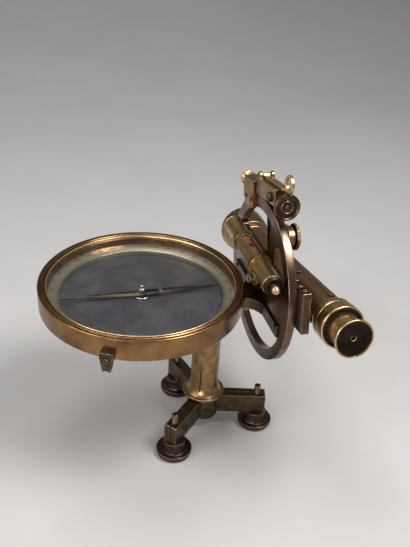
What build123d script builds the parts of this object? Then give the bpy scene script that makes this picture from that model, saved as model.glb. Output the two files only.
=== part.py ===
"""Surveying theodolite: a large compass with a vertical circle, a level and a telescope on a trivet.

Millimetres. The origin lies on the vertical axis, at the hub's underside. +Z is up, +X runs along
the trunnion from the compass to the vertical circle, and +Y is the horizontal direction of sight.
Turned pieces are drawn as half profiles: the first number is a radius, the second a distance along
the piece's own axis.
"""

from build123d import *
import math
import os

os.makedirs("parts", exist_ok=True)

# Clearances
turn_gap = 0.3
shaft_fit = 0.05
seat_fit = 0.05

# Trivet: hub, arms and their slits
hub_r = 15.5
hub_height = 25.5
hub_round = 2.5
arm_count = 3
arm_start_deg = -14.55
arm_under = 4.8
arm_width = 12.7
arm_reach = 62.0
arm_bevel = 0.6
slit_width = 1.3
slit_start = 27.0
tripod_thread_r = 4.8
tripod_thread_depth = 14.0

# Levelling screws
foot_drop = 12.5
foot_circle_r = 53.75
foot_disc_r = 17.06
foot_disc_height = 6.6
foot_neck_r = 10.5
foot_rise = 10.0
foot_shank_r = 3.0

# Pinch screws of the arm slits
pinch_circle_r = 40.5
pinch_height = 10.5
pinch_shank_r = 1.4
pinch_head_r = 2.5
pinch_head_t = 1.8
slot_w = 0.6
slot_deep = 0.7
small_shank_r = 1.0

# Spindle, washer and retaining screw
spindle_r = 8.0
spindle_seat_r = 11.0
spindle_seat_deep = 3.0
spindle_length = 82.5
spindle_washer_r = 10.4
spindle_washer_t = 2.0
spindle_screw_r = 2.5
spindle_screw_deep = 14.0
spindle_screw_head_r = 5.5
spindle_screw_head_t = 3.5

# Column
column_r = 13.34
column_length = 106.3
column_counterbore_r = 11.0
flange_r = 20.3
flange_height = 4.0
flange_round = 1.6
flare_height = 15.0
column_slit_deg = -123.0
column_slit_w = 1.1
column_slit_low = 9.0
column_slit_high = 34.0

# Bridge under the compass
bridge_t = 10.0
bridge_width = 26.0
bridge_back = 24.0
bridge_front = 30.0
bridge_corner = 8.0
bridge_spigot = 6.0
lap_start = 15.0
lap_deep = 4.0
box_screw_dx = 16.0
box_screw_dy = 9.0
box_screw_r = 1.6
box_screw_head_r = 3.0
box_screw_head_t = 2.0

# Compass box, dial, graduated ring and glass
box_r = 90.0
box_overhang = 26.5
compass_offset = box_r - box_overhang
box_height = 20.5
box_wall = 8.0
box_bore_r = box_r - box_wall
box_floor = 3.0
box_edge = 1.1
lip_ridge_in = 3.8
lip_ridge_r = box_r - lip_ridge_in
glass_ledge = 2.6
glass_seat_r = box_bore_r + glass_ledge
glass_seat_drop = 3.6
glass_t = 1.5
glass_ring_w = 1.6
glass_ring_in = 1.1
glass_ring_outer_r = glass_seat_r - glass_ring_in
glass_ring_inner_r = glass_ring_outer_r - glass_ring_w
glass_ring_t = 1.4
dial_t = 0.6
dial_hole_r = 7.9
grad_w = 9.4
grad_inner_r = box_bore_r - grad_w
grad_inner_height = 8.2
grad_outer_height = 10.5

# Pivot, needle, cap and rider
pivot_base_r = 3.8
pivot_cone_r = 1.4
pivot_tip_r = 0.4
pivot_tip_height = 10.5
needle_tip_gap = 1.1
needle_half_length = grad_inner_r - needle_tip_gap
needle_half_width = 4.5
needle_tip_half = 0.4
needle_height = 6.6
needle_t = 1.6
cap_stem_r = 2.85
cap_r = 3.5
cap_bore_r = 1.9
cap_body_height = 11.6
cap_knob_r = 1.8
cap_knob_height = 14.8
rider_place = 15.0
rider_length = 3.0
rider_wall = 0.8

# Needle lifter and arrest lever
lifter_inner_r = 4.4
lifter_outer_r = 7.5
lifter_low = 0.8
lifter_top = 5.1
lifter_arm_w = 4.0
lifter_arm_t = 0.7
lifter_groove_w = 6.0
lifter_groove_floor = 0.5
arrest_deg = -117.4
arrest_shaft_r = 0.9
arrest_shaft_height = 1.75
arrest_shaft_run = 5.0
arrest_shaft_inner = box_bore_r - arrest_shaft_run
arrest_top_half = 5.75
arrest_foot_half = 3.2
arrest_up = 7.0
arrest_shoulder = 3.0
arrest_down = 11.0
arrest_t = 5.0
arrest_screw_r = 2.4
arrest_screw_t = 1.2

# Vertical circle
axis_above_box = 11.5
circle_x = 45.1
circle_t = 7.0
circle_r = 76.1
circle_inner_r = 65.5
web_half = 25.1
web_fillet = 5.0
circle_bevel = 0.6
boss_r = 13.0
boss_t = 2.0
trunnion_r = 6.0

# Yoke between bridge and circle
yoke_drop = 3.6
yoke_height = 11.0
yoke_stem_half = 11.0
yoke_flare_half = 34.0
yoke_pad_half = 60.0
yoke_pad_t = 2.0
yoke_screw_y = 54.0
yoke_screw_up = 8.0
yoke_screw_r = 1.2
yoke_screw_head_r = 2.1
yoke_screw_head_t = 1.3
lap_screw_x = 22.5
lap_screw_y = 6.0

# Level
level_x = 35.8
level_above_axis = 27.5
level_half = 57.0
level_r = 8.6
level_bore_r = 6.9
level_bead_r = 9.0
level_bead_w = 2.4
window_half_w = 5.2
window_near = -17.0
window_far = 18.5
vial_r = 6.5
vial_half = 42.0
level_cap_t = 3.0
level_stud_r = 3.0
level_stud_t = 1.6
bracket_y = 22.5
bracket_w = 5.0
bracket_wall = 1.6
bracket_foot_t = 3.4
bracket_foot_low = 6.0
bracket_foot_high = 20.0
bracket_foot_w = 9.0
adjuster_r = 3.6
adjuster_length = 6.5

# Tilting part: trunnion, vernier arm and verniers
tilt_deg = 9.5
trunnion_thread_r = 3.0
trunnion_washer_r = 8.5
trunnion_washer_t = 2.2
trunnion_nut_r = 4.6
trunnion_nut_t = 5.4
arm_gap = 0.4
arm_t = 5.0
arm_bar_half = 8.0
arm_hub_r = 17.0
arm_bar_reach = 67.0
branch_near = -16.0
branch_far = -2.0
branch_top_near = -27.0
branch_top_far = -9.0
lug_near = -35.0
lug_far = 11.0
lug_low = 77.2
lug_high = 92.0
lug_front = 44.0
vernier_half = 18.0
vernier_width = 19.0
vernier_block_t = 6.7
vernier_plate_t = 0.8
vernier_window_w = 7.0
vernier_window_half = 11.0
vernier_screw_r = 2.0
vernier_screw_t = 1.5
vernier_screw_dt = 5.0

# Clamp arm, clamp block and clamp screw
clamp_arm_t = 3.0
clamp_arm_w = 15.6
clamp_arm_reach = 87.0
clamp_arm_lean_deg = 10.0
clamp_hub_r = 13.0
clamp_block_near = 14.0
clamp_block_far = 40.0
clamp_block_low = 62.0
clamp_block_high = 87.0
jaw_t = 3.0
jaw_screw_places = (19.0, 33.0)
jaw_screw_up = 69.5
lug_screw_place = -24.0
lug_screw_up = 83.0
clamp_screw_place = -43.0
clamp_screw_up = 52.5
clamp_screw_r = 3.0
clamp_knob_r = 11.5
clamp_knob_t = 4.0
clamp_lug_r = 9.0

# Tangent screw and its knobs
tangent_x = 50.0
tangent_up = 80.4
tangent_r = 3.0
tangent_collar_r = 4.4
tangent_head_near = -50.0
tangent_head_t = 5.5
tangent_head_r = 11.3
tangent_head_dish = 1.2
trumpet_neck_r = 3.4
trumpet_r = 7.2
trumpet_length = 13.5

# Reading loupe
loupe_pin_place = 6.0
loupe_pin_up = 94.4
loupe_pin_r = 1.5
loupe_ear_t = 2.4
loupe_eye_r = 1.9
loupe_bar_w = 6.0
loupe_bar_t = 2.2
loupe_ring_place = -49.0
loupe_ring_up = 99.8
loupe_ring_r = 7.6
loupe_lens_r = 5.4
loupe_ring_t = 2.5

# Telescope
tube_x = 85.2
tube_drop = 10.2
tube_r = 15.7
tube_bore_r = 14.5
tube_near = -75.5
tube_far = 132.0
tube_bead_r = 17.1
tube_bead_w = 6.0
bell_start_r = 20.4
bell_mid_r = 23.6
bell_rise = 17.0
bell_mid = tube_far + bell_rise
bell_end_r = 25.2
bell_run = 21.0
bell_end = bell_mid + bell_run
bell_wall = 2.2
lens_seat_run = 7.0
lens_seat = bell_mid + lens_seat_run
lens_edge_t = 3.0
lens_bulge = 2.0
cell_ring_t = 3.0
cell_ring_w = 2.4
collar_near = -97.1
collar_r = 19.47
collar_groove = -84.0
collar_groove_w = 1.2
collar_groove_r = 17.9
collar_bead_r = 19.0
collar_recess_r = 18.0
collar_recess_deep = 4.0
draw_r = 14.04
draw_bore_r = 12.9
draw_near = -115.3
draw_far = -80.0
eyecap_near = -118.0
eyecap_r = 17.03
eyecap_rim = 1.1
eyecap_dish = 0.8
eyecap_hole_r = 2.0
eyecap_neck = 5.0
eye_lens_t = 3.5
eye_lens_at = -114.0
field_lens_t = 4.0
field_lens_at = -92.0
reticle_place = -65.0
reticle_t = 2.6
reticle_r = 13.2
reticle_hole_r = 9.0
reticle_screw_deg = 80.0
reticle_screw_count = 3
tube_screw_r = 1.5
tube_screw_head_r = 3.0
tube_screw_head_t = 1.4
stop_place = -9.0
stop_t = 3.0
stop_hole_r = 11.0
stop_screw_deg = 100.0
saddle_half = 22.0
saddle_low = 22.0
saddle_high = 3.0
saddle_reach = 77.0

# Levels and places that follow from the sizes above
arm_top = hub_height
arm_height = arm_top - arm_under
column_base = hub_height + turn_gap
column_top = column_base + column_length
bridge_top = column_top + bridge_t
box_base = bridge_top
axis_z = box_base + axis_above_box
yoke_base = column_top - yoke_drop
circle_outer_x = circle_x + circle_t
arm_x = circle_outer_x + arm_gap
arm_back_x = arm_x + arm_t
clamp_arm_back_x = arm_back_x + clamp_arm_t
compass_centre = Vector(-compass_offset, 0, box_base)
arm_angles = [arm_start_deg + step * 360 / arm_count for step in range(arm_count)]

# Directions of the tilted part: along the sight line, and square to it upwards
tilt = math.radians(tilt_deg)
sight_dir = Vector(0, math.cos(tilt), -math.sin(tilt))
rise_dir = Vector(0, math.sin(tilt), math.cos(tilt))
across_dir = Vector(1, 0, 0)
limb_plane = Plane(origin=(0, 0, axis_z), x_dir=sight_dir, z_dir=across_dir)
circle_plane = Plane(origin=(0, 0, axis_z), x_dir=(0, 1, 0), z_dir=across_dir)


def tilted(x, along, up):
    """Point of the tilting part: x across, along the sight line and up from the trunnion's axis."""
    return Vector(x, 0, axis_z) + sight_dir * along + rise_dir * up


def lathe_plane(centre, along, radial):
    """Plane of a half profile: local x is the radius and local y runs along the axis."""
    return Plane(origin=centre, x_dir=radial, z_dir=Vector(radial).cross(Vector(along)))


def polar(radius, degrees, z):
    """Point at a radius and an azimuth about the vertical axis."""
    angle = math.radians(degrees)
    return Vector(radius * math.cos(angle), radius * math.sin(angle), z)


def peg(base, direction, radius, length):
    """Plain round pin from base, used to sink the hole of a screw's shank."""
    side = Vector(0, 0, 1) if abs(direction.Z) < 0.9 else Vector(1, 0, 0)
    radial = (side - direction * side.dot(direction)).normalized()
    with BuildPart() as pin:
        with BuildSketch(Plane(origin=base, x_dir=radial, z_dir=direction)):
            Circle(radius)
        extrude(amount=length)
    return pin.part


def slotted_screw(head_base, outward, head_r, head_t, shank_r, shank_length):
    """Cheese-head screw: its head stands outward from head_base, its shank runs the other way."""
    side = Vector(0, 0, 1) if abs(outward.Z) < 0.9 else Vector(1, 0, 0)
    radial = (side - outward * side.dot(outward)).normalized()
    with BuildPart() as screw:
        with BuildSketch(lathe_plane(head_base, outward, radial)):
            Polygon(
                (0, -shank_length),
                (shank_r, -shank_length),
                (shank_r, 0),
                (head_r, 0),
                (head_r, head_t * 0.75),
                (head_r * 0.85, head_t),
                (0, head_t),
                align=None,
            )
        revolve(axis=Axis(head_base, outward))
        with BuildSketch(Plane(origin=head_base + outward * head_t, x_dir=radial, z_dir=outward)):
            Rectangle(3 * head_r, slot_w)
        extrude(amount=-min(slot_deep, head_t / 2), mode=Mode.SUBTRACT)
    return screw.part


# Trivet body
with BuildPart() as trivet_body:
    with BuildSketch():
        Circle(hub_r)
    extrude(amount=hub_height)
    fillet(trivet_body.edges().sort_by(Axis.Z)[0], hub_round)
    with BuildSketch(Plane.XY.offset(arm_under)):
        with PolarLocations(0, arm_count, arm_start_deg):
            Rectangle(arm_reach, arm_width, align=(Align.MIN, Align.CENTER))
    extrude(amount=arm_height)
    top_edges = trivet_body.edges().filter_by(GeomType.LINE).group_by(Axis.Z)[-1]
    chamfer(top_edges, arm_bevel)
    with BuildSketch(Plane.XY.offset(arm_under)):
        with PolarLocations(foot_circle_r, arm_count, arm_start_deg):
            Circle(foot_shank_r + shaft_fit)
    extrude(amount=arm_height, mode=Mode.SUBTRACT)
    with BuildSketch(Plane.XY.offset(arm_under)):
        with PolarLocations(slit_start, arm_count, arm_start_deg):
            Rectangle(arm_reach, slit_width, align=(Align.MIN, Align.CENTER))
    extrude(amount=arm_height, mode=Mode.SUBTRACT)
    for angle in arm_angles:
        outward = polar(1, angle, 0)
        sideways = polar(1, angle + 90, 0)
        with BuildSketch(Plane(polar(pinch_circle_r, angle, pinch_height), outward, sideways)):
            Circle(pinch_shank_r + seat_fit)
        extrude(amount=arm_width, both=True, mode=Mode.SUBTRACT)
    with BuildSketch(Plane.XY.offset(hub_height - spindle_seat_deep)):
        Circle(spindle_seat_r + seat_fit)
    extrude(amount=spindle_seat_deep, mode=Mode.SUBTRACT)
    with BuildSketch():
        Circle(tripod_thread_r)
    extrude(amount=tripod_thread_depth, mode=Mode.SUBTRACT)
trivet_body.part.label = "trivet_body"
export_step(trivet_body.part, "parts/trivet_body.step")

# Levelling screws: foot disc, tapered neck and shank through the arm
for number, angle in enumerate(arm_angles, start=1):
    foot = polar(foot_circle_r, angle, -foot_drop)
    neck_top = foot_drop + arm_under - turn_gap
    shank_top = foot_drop + arm_top + foot_rise
    with BuildPart() as levelling_screw:
        with BuildSketch(lathe_plane(foot, (0, 0, 1), (1, 0, 0))):
            with BuildLine():
                Polyline(
                    (0, shank_top),
                    (0, 0),
                    (foot_disc_r - 2.2, 0),
                    (foot_disc_r - 0.6, 1.4),
                    (foot_disc_r, foot_disc_height - 1.6),
                    (foot_disc_r - 0.5, foot_disc_height - 0.4),
                    (foot_disc_r - 1.4, foot_disc_height),
                    (foot_disc_r - 2.2, foot_disc_height - 0.7),
                    (foot_disc_r - 3.4, foot_disc_height - 0.7),
                )
                Spline(
                    (foot_disc_r - 3.4, foot_disc_height - 0.7),
                    (foot_neck_r, neck_top - 4.4),
                    tangents=[(-1, 0.3), (-0.1, 1)],
                )
                Polyline(
                    (foot_neck_r, neck_top - 4.4),
                    (foot_neck_r, neck_top),
                    (foot_shank_r, neck_top),
                    (foot_shank_r, shank_top - 0.8),
                    (foot_shank_r - 0.8, shank_top),
                    (0, shank_top),
                )
            make_face()
        revolve(axis=Axis(foot, (0, 0, 1)))
    levelling_screw.part.label = f"levelling_screw_{number}"
    export_step(levelling_screw.part, f"parts/levelling_screw_{number}.step")

# Screws that pinch the slits on the levelling screws
with BuildPart() as arm_pinch_screws:
    for angle in arm_angles:
        sideways = polar(1, angle + 90, 0)
        head = polar(pinch_circle_r, angle, pinch_height) + sideways * (arm_width / 2)
        add(slotted_screw(head, sideways, pinch_head_r, pinch_head_t, pinch_shank_r, arm_width + 1.2))
arm_pinch_screws.part.label = "arm_pinch_screws"
export_step(arm_pinch_screws.part, "parts/arm_pinch_screws.step")

# Spindle that stands in the hub
spindle_base = hub_height - spindle_seat_deep
spindle_top = hub_height + spindle_length
with BuildPart() as spindle:
    with BuildSketch(Plane.XZ):
        Polygon(
            (0, spindle_base),
            (spindle_seat_r, spindle_base),
            (spindle_seat_r, hub_height),
            (spindle_r, hub_height),
            (spindle_r, spindle_top),
            (spindle_screw_r + seat_fit, spindle_top),
            (spindle_screw_r + seat_fit, spindle_top - spindle_screw_deep),
            (0, spindle_top - spindle_screw_deep),
            align=None,
        )
    revolve(axis=Axis.Z)
spindle.part.label = "spindle"
export_step(spindle.part, "parts/spindle.step")

# Washer and screw that keep the column on the spindle
with BuildPart() as spindle_washer:
    with BuildSketch(Plane.XY.offset(spindle_top)):
        Circle(spindle_washer_r)
        Circle(spindle_screw_r + seat_fit, mode=Mode.SUBTRACT)
    extrude(amount=spindle_washer_t)
    chamfer(spindle_washer.edges().group_by(Axis.Z)[-1].sort_by(SortBy.RADIUS)[-1], 0.4)
spindle_washer.part.label = "spindle_washer"
export_step(spindle_washer.part, "parts/spindle_washer.step")

with BuildPart() as spindle_screw:
    add(
        slotted_screw(
            Vector(0, 0, spindle_top + spindle_washer_t),
            Vector(0, 0, 1),
            spindle_screw_head_r,
            spindle_screw_head_t,
            spindle_screw_r,
            spindle_washer_t + spindle_screw_deep - 1.0,
        )
    )
spindle_screw.part.label = "spindle_screw"
export_step(spindle_screw.part, "parts/spindle_screw.step")

# Column: flared foot, bore on the spindle, counterbore over the washer
bore_r = spindle_r + shaft_fit
shoulder_z = spindle_top - turn_gap
with BuildPart() as column:
    with BuildSketch(Plane.XZ):
        with BuildLine():
            Polyline((bore_r, column_base), (flange_r - flange_round, column_base))
            RadiusArc(
                (flange_r - flange_round, column_base),
                (flange_r, column_base + flange_round),
                -flange_round,
            )
            Polyline(
                (flange_r, column_base + flange_round),
                (flange_r, column_base + flange_height - 0.7),
                (flange_r - 0.7, column_base + flange_height),
                (flange_r - 2.6, column_base + flange_height + 0.4),
            )
            Spline(
                (flange_r - 2.6, column_base + flange_height + 0.4),
                (column_r, column_base + flare_height),
                tangents=[(-1, 0.25), (0, 1)],
            )
            Polyline(
                (column_r, column_base + flare_height),
                (column_r, column_top),
                (column_counterbore_r, column_top),
                (column_counterbore_r, shoulder_z),
                (bore_r, shoulder_z),
                (bore_r, column_base),
            )
        make_face()
    revolve(axis=Axis.Z)
    slit_out = polar(1, column_slit_deg, 0)
    slit_across = polar(1, column_slit_deg + 90, 0)
    with BuildSketch(Plane(Vector(0, 0, column_base), slit_across, slit_out)):
        with Locations((0, (column_slit_low + column_slit_high) / 2)):
            SlotOverall(column_slit_high - column_slit_low, column_slit_w, rotation=90)
    extrude(amount=flange_r, mode=Mode.SUBTRACT)
column.part.label = "column"
export_step(column.part, "parts/column.step")

# Bridge: carries the compass box, and laps over the yoke at its front end
bridge_low_x = -(compass_offset + bridge_back)
with BuildPart() as bridge:
    with BuildSketch(Plane.XY.offset(column_top)):
        with Locations(((bridge_low_x + bridge_front) / 2, 0)):
            RectangleRounded(bridge_front - bridge_low_x, bridge_width, bridge_corner)
    extrude(amount=bridge_t)
    with BuildSketch(Plane.XY.offset(column_top)):
        with Locations((lap_start, 0)):
            Rectangle(bridge_front, bridge_width, align=(Align.MIN, Align.CENTER))
    extrude(amount=lap_deep, mode=Mode.SUBTRACT)
    with BuildSketch(Plane.XY.offset(column_top)):
        Circle(column_counterbore_r - seat_fit)
    extrude(amount=-bridge_spigot)
    with BuildSketch(Plane.XY.offset(column_top)):
        with Locations((-compass_offset, 0)):
            with GridLocations(2 * box_screw_dx, 2 * box_screw_dy, 2, 2):
                Circle(box_screw_r + seat_fit)
    extrude(amount=bridge_t, mode=Mode.SUBTRACT)
    with BuildSketch(Plane.XY.offset(column_top + lap_deep)):
        with Locations((lap_screw_x, -lap_screw_y), (lap_screw_x, lap_screw_y)):
            Circle(yoke_screw_r + seat_fit)
    extrude(amount=bridge_t, mode=Mode.SUBTRACT)
bridge.part.label = "bridge"
export_step(bridge.part, "parts/bridge.step")

# Screws from the bridge into the floor of the compass box
with BuildPart() as box_screws:
    for dx in (-box_screw_dx, box_screw_dx):
        for dy in (-box_screw_dy, box_screw_dy):
            head = Vector(-compass_offset + dx, dy, column_top)
            add(
                slotted_screw(
                    head,
                    Vector(0, 0, -1),
                    box_screw_head_r,
                    box_screw_head_t,
                    box_screw_r,
                    bridge_t + box_floor / 2,
                )
            )
box_screws.part.label = "box_screws"
export_step(box_screws.part, "parts/box_screws.step")

# Compass box: floor, wall, glass seat and rounded lip
arrest_out = polar(1, arrest_deg, 0)
arrest_across = polar(1, arrest_deg + 90, 0)
compass_axis = Axis(compass_centre, (0, 0, 1))
compass_section = lathe_plane(compass_centre, (0, 0, 1), (1, 0, 0))
glass_seat_z = box_height - glass_seat_drop
with BuildPart() as compass_box:
    with BuildSketch(compass_section):
        Polygon(
            (0, 0),
            (box_r - box_edge, 0),
            (box_r, box_edge),
            (box_r, box_height - box_edge),
            (box_r - box_edge * 0.7, box_height - box_edge * 0.3),
            (lip_ridge_r + 0.8, box_height - 0.6),
            (lip_ridge_r, box_height),
            (glass_seat_r + 0.5, box_height),
            (glass_seat_r, box_height - 0.5),
            (glass_seat_r, glass_seat_z),
            (box_bore_r, glass_seat_z),
            (box_bore_r, box_floor),
            (0, box_floor),
            align=None,
        )
    revolve(axis=compass_axis)
    groove_plane = Plane(compass_centre + Vector(0, 0, lifter_groove_floor), arrest_out, (0, 0, 1))
    with BuildSketch(groove_plane):
        Circle(lifter_outer_r + 1.0)
        Rectangle(box_bore_r, lifter_groove_w, align=(Align.MIN, Align.CENTER))
    extrude(amount=box_floor, mode=Mode.SUBTRACT)
    shaft_centre = compass_centre + Vector(0, 0, arrest_shaft_height)
    with BuildSketch(Plane(shaft_centre + arrest_out * (box_bore_r - 1), arrest_across, arrest_out)):
        Circle(arrest_shaft_r + shaft_fit)
    extrude(amount=box_r, mode=Mode.SUBTRACT)
    with BuildSketch(Plane.XY.offset(box_base)):
        with Locations((-compass_offset, 0)):
            with GridLocations(2 * box_screw_dx, 2 * box_screw_dy, 2, 2):
                Circle(box_screw_r + seat_fit)
    extrude(amount=box_floor * 0.6, mode=Mode.SUBTRACT)
compass_box.part.label = "compass_box"
export_step(compass_box.part, "parts/compass_box.step")

# Dial plate on the floor of the box
dial_top = box_floor + dial_t
with BuildPart() as dial_plate:
    with BuildSketch(Plane(compass_centre + Vector(0, 0, box_floor))):
        Circle(box_bore_r - seat_fit)
        Circle(dial_hole_r, mode=Mode.SUBTRACT)
    extrude(amount=dial_t)
dial_plate.part.label = "dial_plate"
export_step(dial_plate.part, "parts/dial_plate.step")

# Graduated ring, dished towards the needle
with BuildPart() as graduated_ring:
    with BuildSketch(compass_section):
        Polygon(
            (grad_inner_r, dial_top),
            (box_bore_r - seat_fit, dial_top),
            (box_bore_r - seat_fit, grad_outer_height),
            (grad_inner_r, grad_inner_height),
            align=None,
        )
    revolve(axis=compass_axis)
graduated_ring.part.label = "graduated_ring"
export_step(graduated_ring.part, "parts/graduated_ring.step")

# Glass and the ring that holds it down
with BuildPart() as glass_cover:
    with BuildSketch(Plane(compass_centre + Vector(0, 0, glass_seat_z))):
        Circle(glass_seat_r - seat_fit)
    extrude(amount=glass_t)
glass_cover.part.label = "glass_cover"
export_step(glass_cover.part, "parts/glass_cover.step")

with BuildPart() as glass_ring:
    with BuildSketch(compass_section):
        Polygon(
            (glass_ring_inner_r, glass_seat_z + glass_t),
            (glass_ring_outer_r, glass_seat_z + glass_t),
            (glass_ring_outer_r, glass_seat_z + glass_t + glass_ring_t * 0.8),
            (glass_ring_outer_r - 0.4, glass_seat_z + glass_t + glass_ring_t),
            (glass_ring_inner_r + 0.5, glass_seat_z + glass_t + glass_ring_t),
            (glass_ring_inner_r, glass_seat_z + glass_t + 0.4),
            align=None,
        )
    revolve(axis=compass_axis)
glass_ring.part.label = "glass_ring"
export_step(glass_ring.part, "parts/glass_ring.step")

# Pivot in the middle of the floor
with BuildPart() as needle_pivot:
    with BuildSketch(compass_section):
        Polygon(
            (0, lifter_groove_floor),
            (pivot_base_r, lifter_groove_floor),
            (pivot_base_r, box_floor),
            (pivot_cone_r, box_floor + 1.4),
            (pivot_cone_r, needle_height),
            (pivot_tip_r, pivot_tip_height),
            (0, pivot_tip_height),
            align=None,
        )
    revolve(axis=compass_axis)
needle_pivot.part.label = "needle_pivot"
export_step(needle_pivot.part, "parts/needle_pivot.step")

# Needle: a long lozenge with a hole for its cap
with BuildPart() as needle:
    with BuildSketch(Plane(compass_centre + Vector(0, 0, needle_height))):
        Polygon(
            (-needle_half_length, -needle_tip_half),
            (0, -needle_half_width),
            (needle_half_length, -needle_tip_half),
            (needle_half_length, needle_tip_half),
            (0, needle_half_width),
            (-needle_half_length, needle_tip_half),
            align=None,
        )
        Circle(cap_stem_r + seat_fit, mode=Mode.SUBTRACT)
    extrude(amount=needle_t)
needle.part.label = "needle"
export_step(needle.part, "parts/needle.step")

# Cap: hollow below, so that it rides on the pivot's point
cap_low = needle_height - 0.4
with BuildPart() as needle_cap:
    with BuildSketch(compass_section):
        with BuildLine():
            Polyline(
                (0, pivot_tip_height + turn_gap),
                (cap_bore_r, pivot_tip_height + turn_gap),
                (cap_bore_r, cap_low),
                (cap_stem_r, cap_low),
                (cap_stem_r, needle_height + needle_t),
                (cap_r, needle_height + needle_t),
                (cap_r, cap_body_height - 1.2),
            )
            RadiusArc((cap_r, cap_body_height - 1.2), (cap_knob_r, cap_body_height + 0.6), -3.0)
            Polyline(
                (cap_knob_r, cap_body_height + 0.6),
                (cap_knob_r, cap_knob_height - 0.8),
                (cap_knob_r - 0.8, cap_knob_height),
                (0, cap_knob_height),
                (0, pivot_tip_height + turn_gap),
            )
        make_face()
    revolve(axis=compass_axis)
needle_cap.part.label = "needle_cap"
export_step(needle_cap.part, "parts/needle_cap.step")

# Rider that balances the needle against the dip
rider_half = needle_half_width * (1 - rider_place / needle_half_length) + 0.2
with BuildPart() as needle_rider:
    rider_middle = compass_centre + Vector(rider_place, 0, needle_height + needle_t / 2)
    with BuildSketch(Plane(rider_middle, (0, 1, 0), (1, 0, 0))):
        Rectangle(2 * (rider_half + rider_wall), needle_t + 2 * rider_wall + 0.1)
        Rectangle(2 * rider_half, needle_t + 0.1, mode=Mode.SUBTRACT)
    extrude(amount=rider_length)
needle_rider.part.label = "needle_rider"
export_step(needle_rider.part, "parts/needle_rider.step")

# Lifter: collar round the pivot and an arm in the floor's groove
with BuildPart() as needle_lifter:
    with BuildSketch(Plane(compass_centre + Vector(0, 0, lifter_low), arrest_out, (0, 0, 1))):
        Circle(lifter_outer_r)
        Rectangle(
            arrest_shaft_inner - turn_gap, lifter_arm_w, align=(Align.MIN, Align.CENTER)
        )
        Circle(lifter_inner_r, mode=Mode.SUBTRACT)
    extrude(amount=lifter_arm_t)
    with BuildSketch(Plane(compass_centre + Vector(0, 0, lifter_low))):
        Circle(lifter_outer_r)
        Circle(lifter_inner_r, mode=Mode.SUBTRACT)
    extrude(amount=lifter_top - lifter_low)
    chamfer(needle_lifter.edges().group_by(Axis.Z)[-1].sort_by(SortBy.RADIUS)[-1], 0.5)
needle_lifter.part.label = "needle_lifter"
export_step(needle_lifter.part, "parts/needle_lifter.step")

# Arrest lever in front of the drum, with its shaft through the wall
lever_plane = Plane(shaft_centre + arrest_out * (box_r + turn_gap), arrest_across, arrest_out)
with BuildPart() as arrest_lever:
    with BuildSketch(lever_plane):
        with BuildLine():
            Polyline(
                (arrest_foot_half, -arrest_down),
                (arrest_top_half, arrest_shoulder),
                (arrest_top_half, arrest_up),
                (-arrest_top_half, arrest_up),
                (-arrest_top_half, arrest_shoulder),
                (-arrest_foot_half, -arrest_down),
            )
            RadiusArc(
                (-arrest_foot_half, -arrest_down), (arrest_foot_half, -arrest_down), arrest_top_half
            )
        make_face()
    extrude(amount=arrest_t)
    fillet(arrest_lever.edges().filter_by(Axis(shaft_centre, arrest_out)).sort_by(Axis.Z)[-2:], 0.8)
    with BuildSketch(lever_plane):
        Circle(arrest_shaft_r)
    extrude(amount=-(box_r + turn_gap - arrest_shaft_inner))
    lever_mouth = lever_plane.origin + arrest_out * arrest_t
    add(peg(lever_mouth, arrest_out * -1, small_shank_r + seat_fit, arrest_t - 0.8), mode=Mode.SUBTRACT)
arrest_lever.part.label = "arrest_lever"
export_step(arrest_lever.part, "parts/arrest_lever.step")

with BuildPart() as arrest_screw:
    add(
        slotted_screw(
            lever_plane.origin + arrest_out * arrest_t,
            arrest_out,
            arrest_screw_r,
            arrest_screw_t,
            small_shank_r,
            arrest_t - 1.0,
        )
    )
arrest_screw.part.label = "arrest_screw"
export_step(arrest_screw.part, "parts/arrest_screw.step")

# Vertical circle: ring and broad web, cut to two segment openings
with BuildPart() as vertical_circle:
    with BuildSketch(circle_plane.offset(circle_x)):
        Circle(circle_r)
    extrude(amount=circle_t)
    chamfer(vertical_circle.edges(), circle_bevel)
    with BuildSketch(circle_plane.offset(circle_x)):
        Circle(circle_inner_r)
        Rectangle(2 * circle_r, 2 * web_half, mode=Mode.SUBTRACT)
        fillet(vertices(), web_fillet)
    extrude(amount=circle_t, mode=Mode.SUBTRACT)
    with BuildSketch(circle_plane.offset(circle_x)):
        Circle(boss_r)
    extrude(amount=-boss_t)
    with BuildSketch(circle_plane.offset(circle_x - boss_t)):
        Circle(trunnion_r + shaft_fit)
    extrude(amount=boss_t + circle_t, mode=Mode.SUBTRACT)
    with BuildSketch(circle_plane.offset(circle_x)):
        with Locations(
            (-yoke_screw_y, yoke_base + yoke_screw_up - axis_z),
            (yoke_screw_y, yoke_base + yoke_screw_up - axis_z),
        ):
            Circle(yoke_screw_r + seat_fit)
    extrude(amount=circle_t * 0.8, mode=Mode.SUBTRACT)
vertical_circle.part.label = "vertical_circle"
export_step(vertical_circle.part, "parts/vertical_circle.step")

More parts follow.
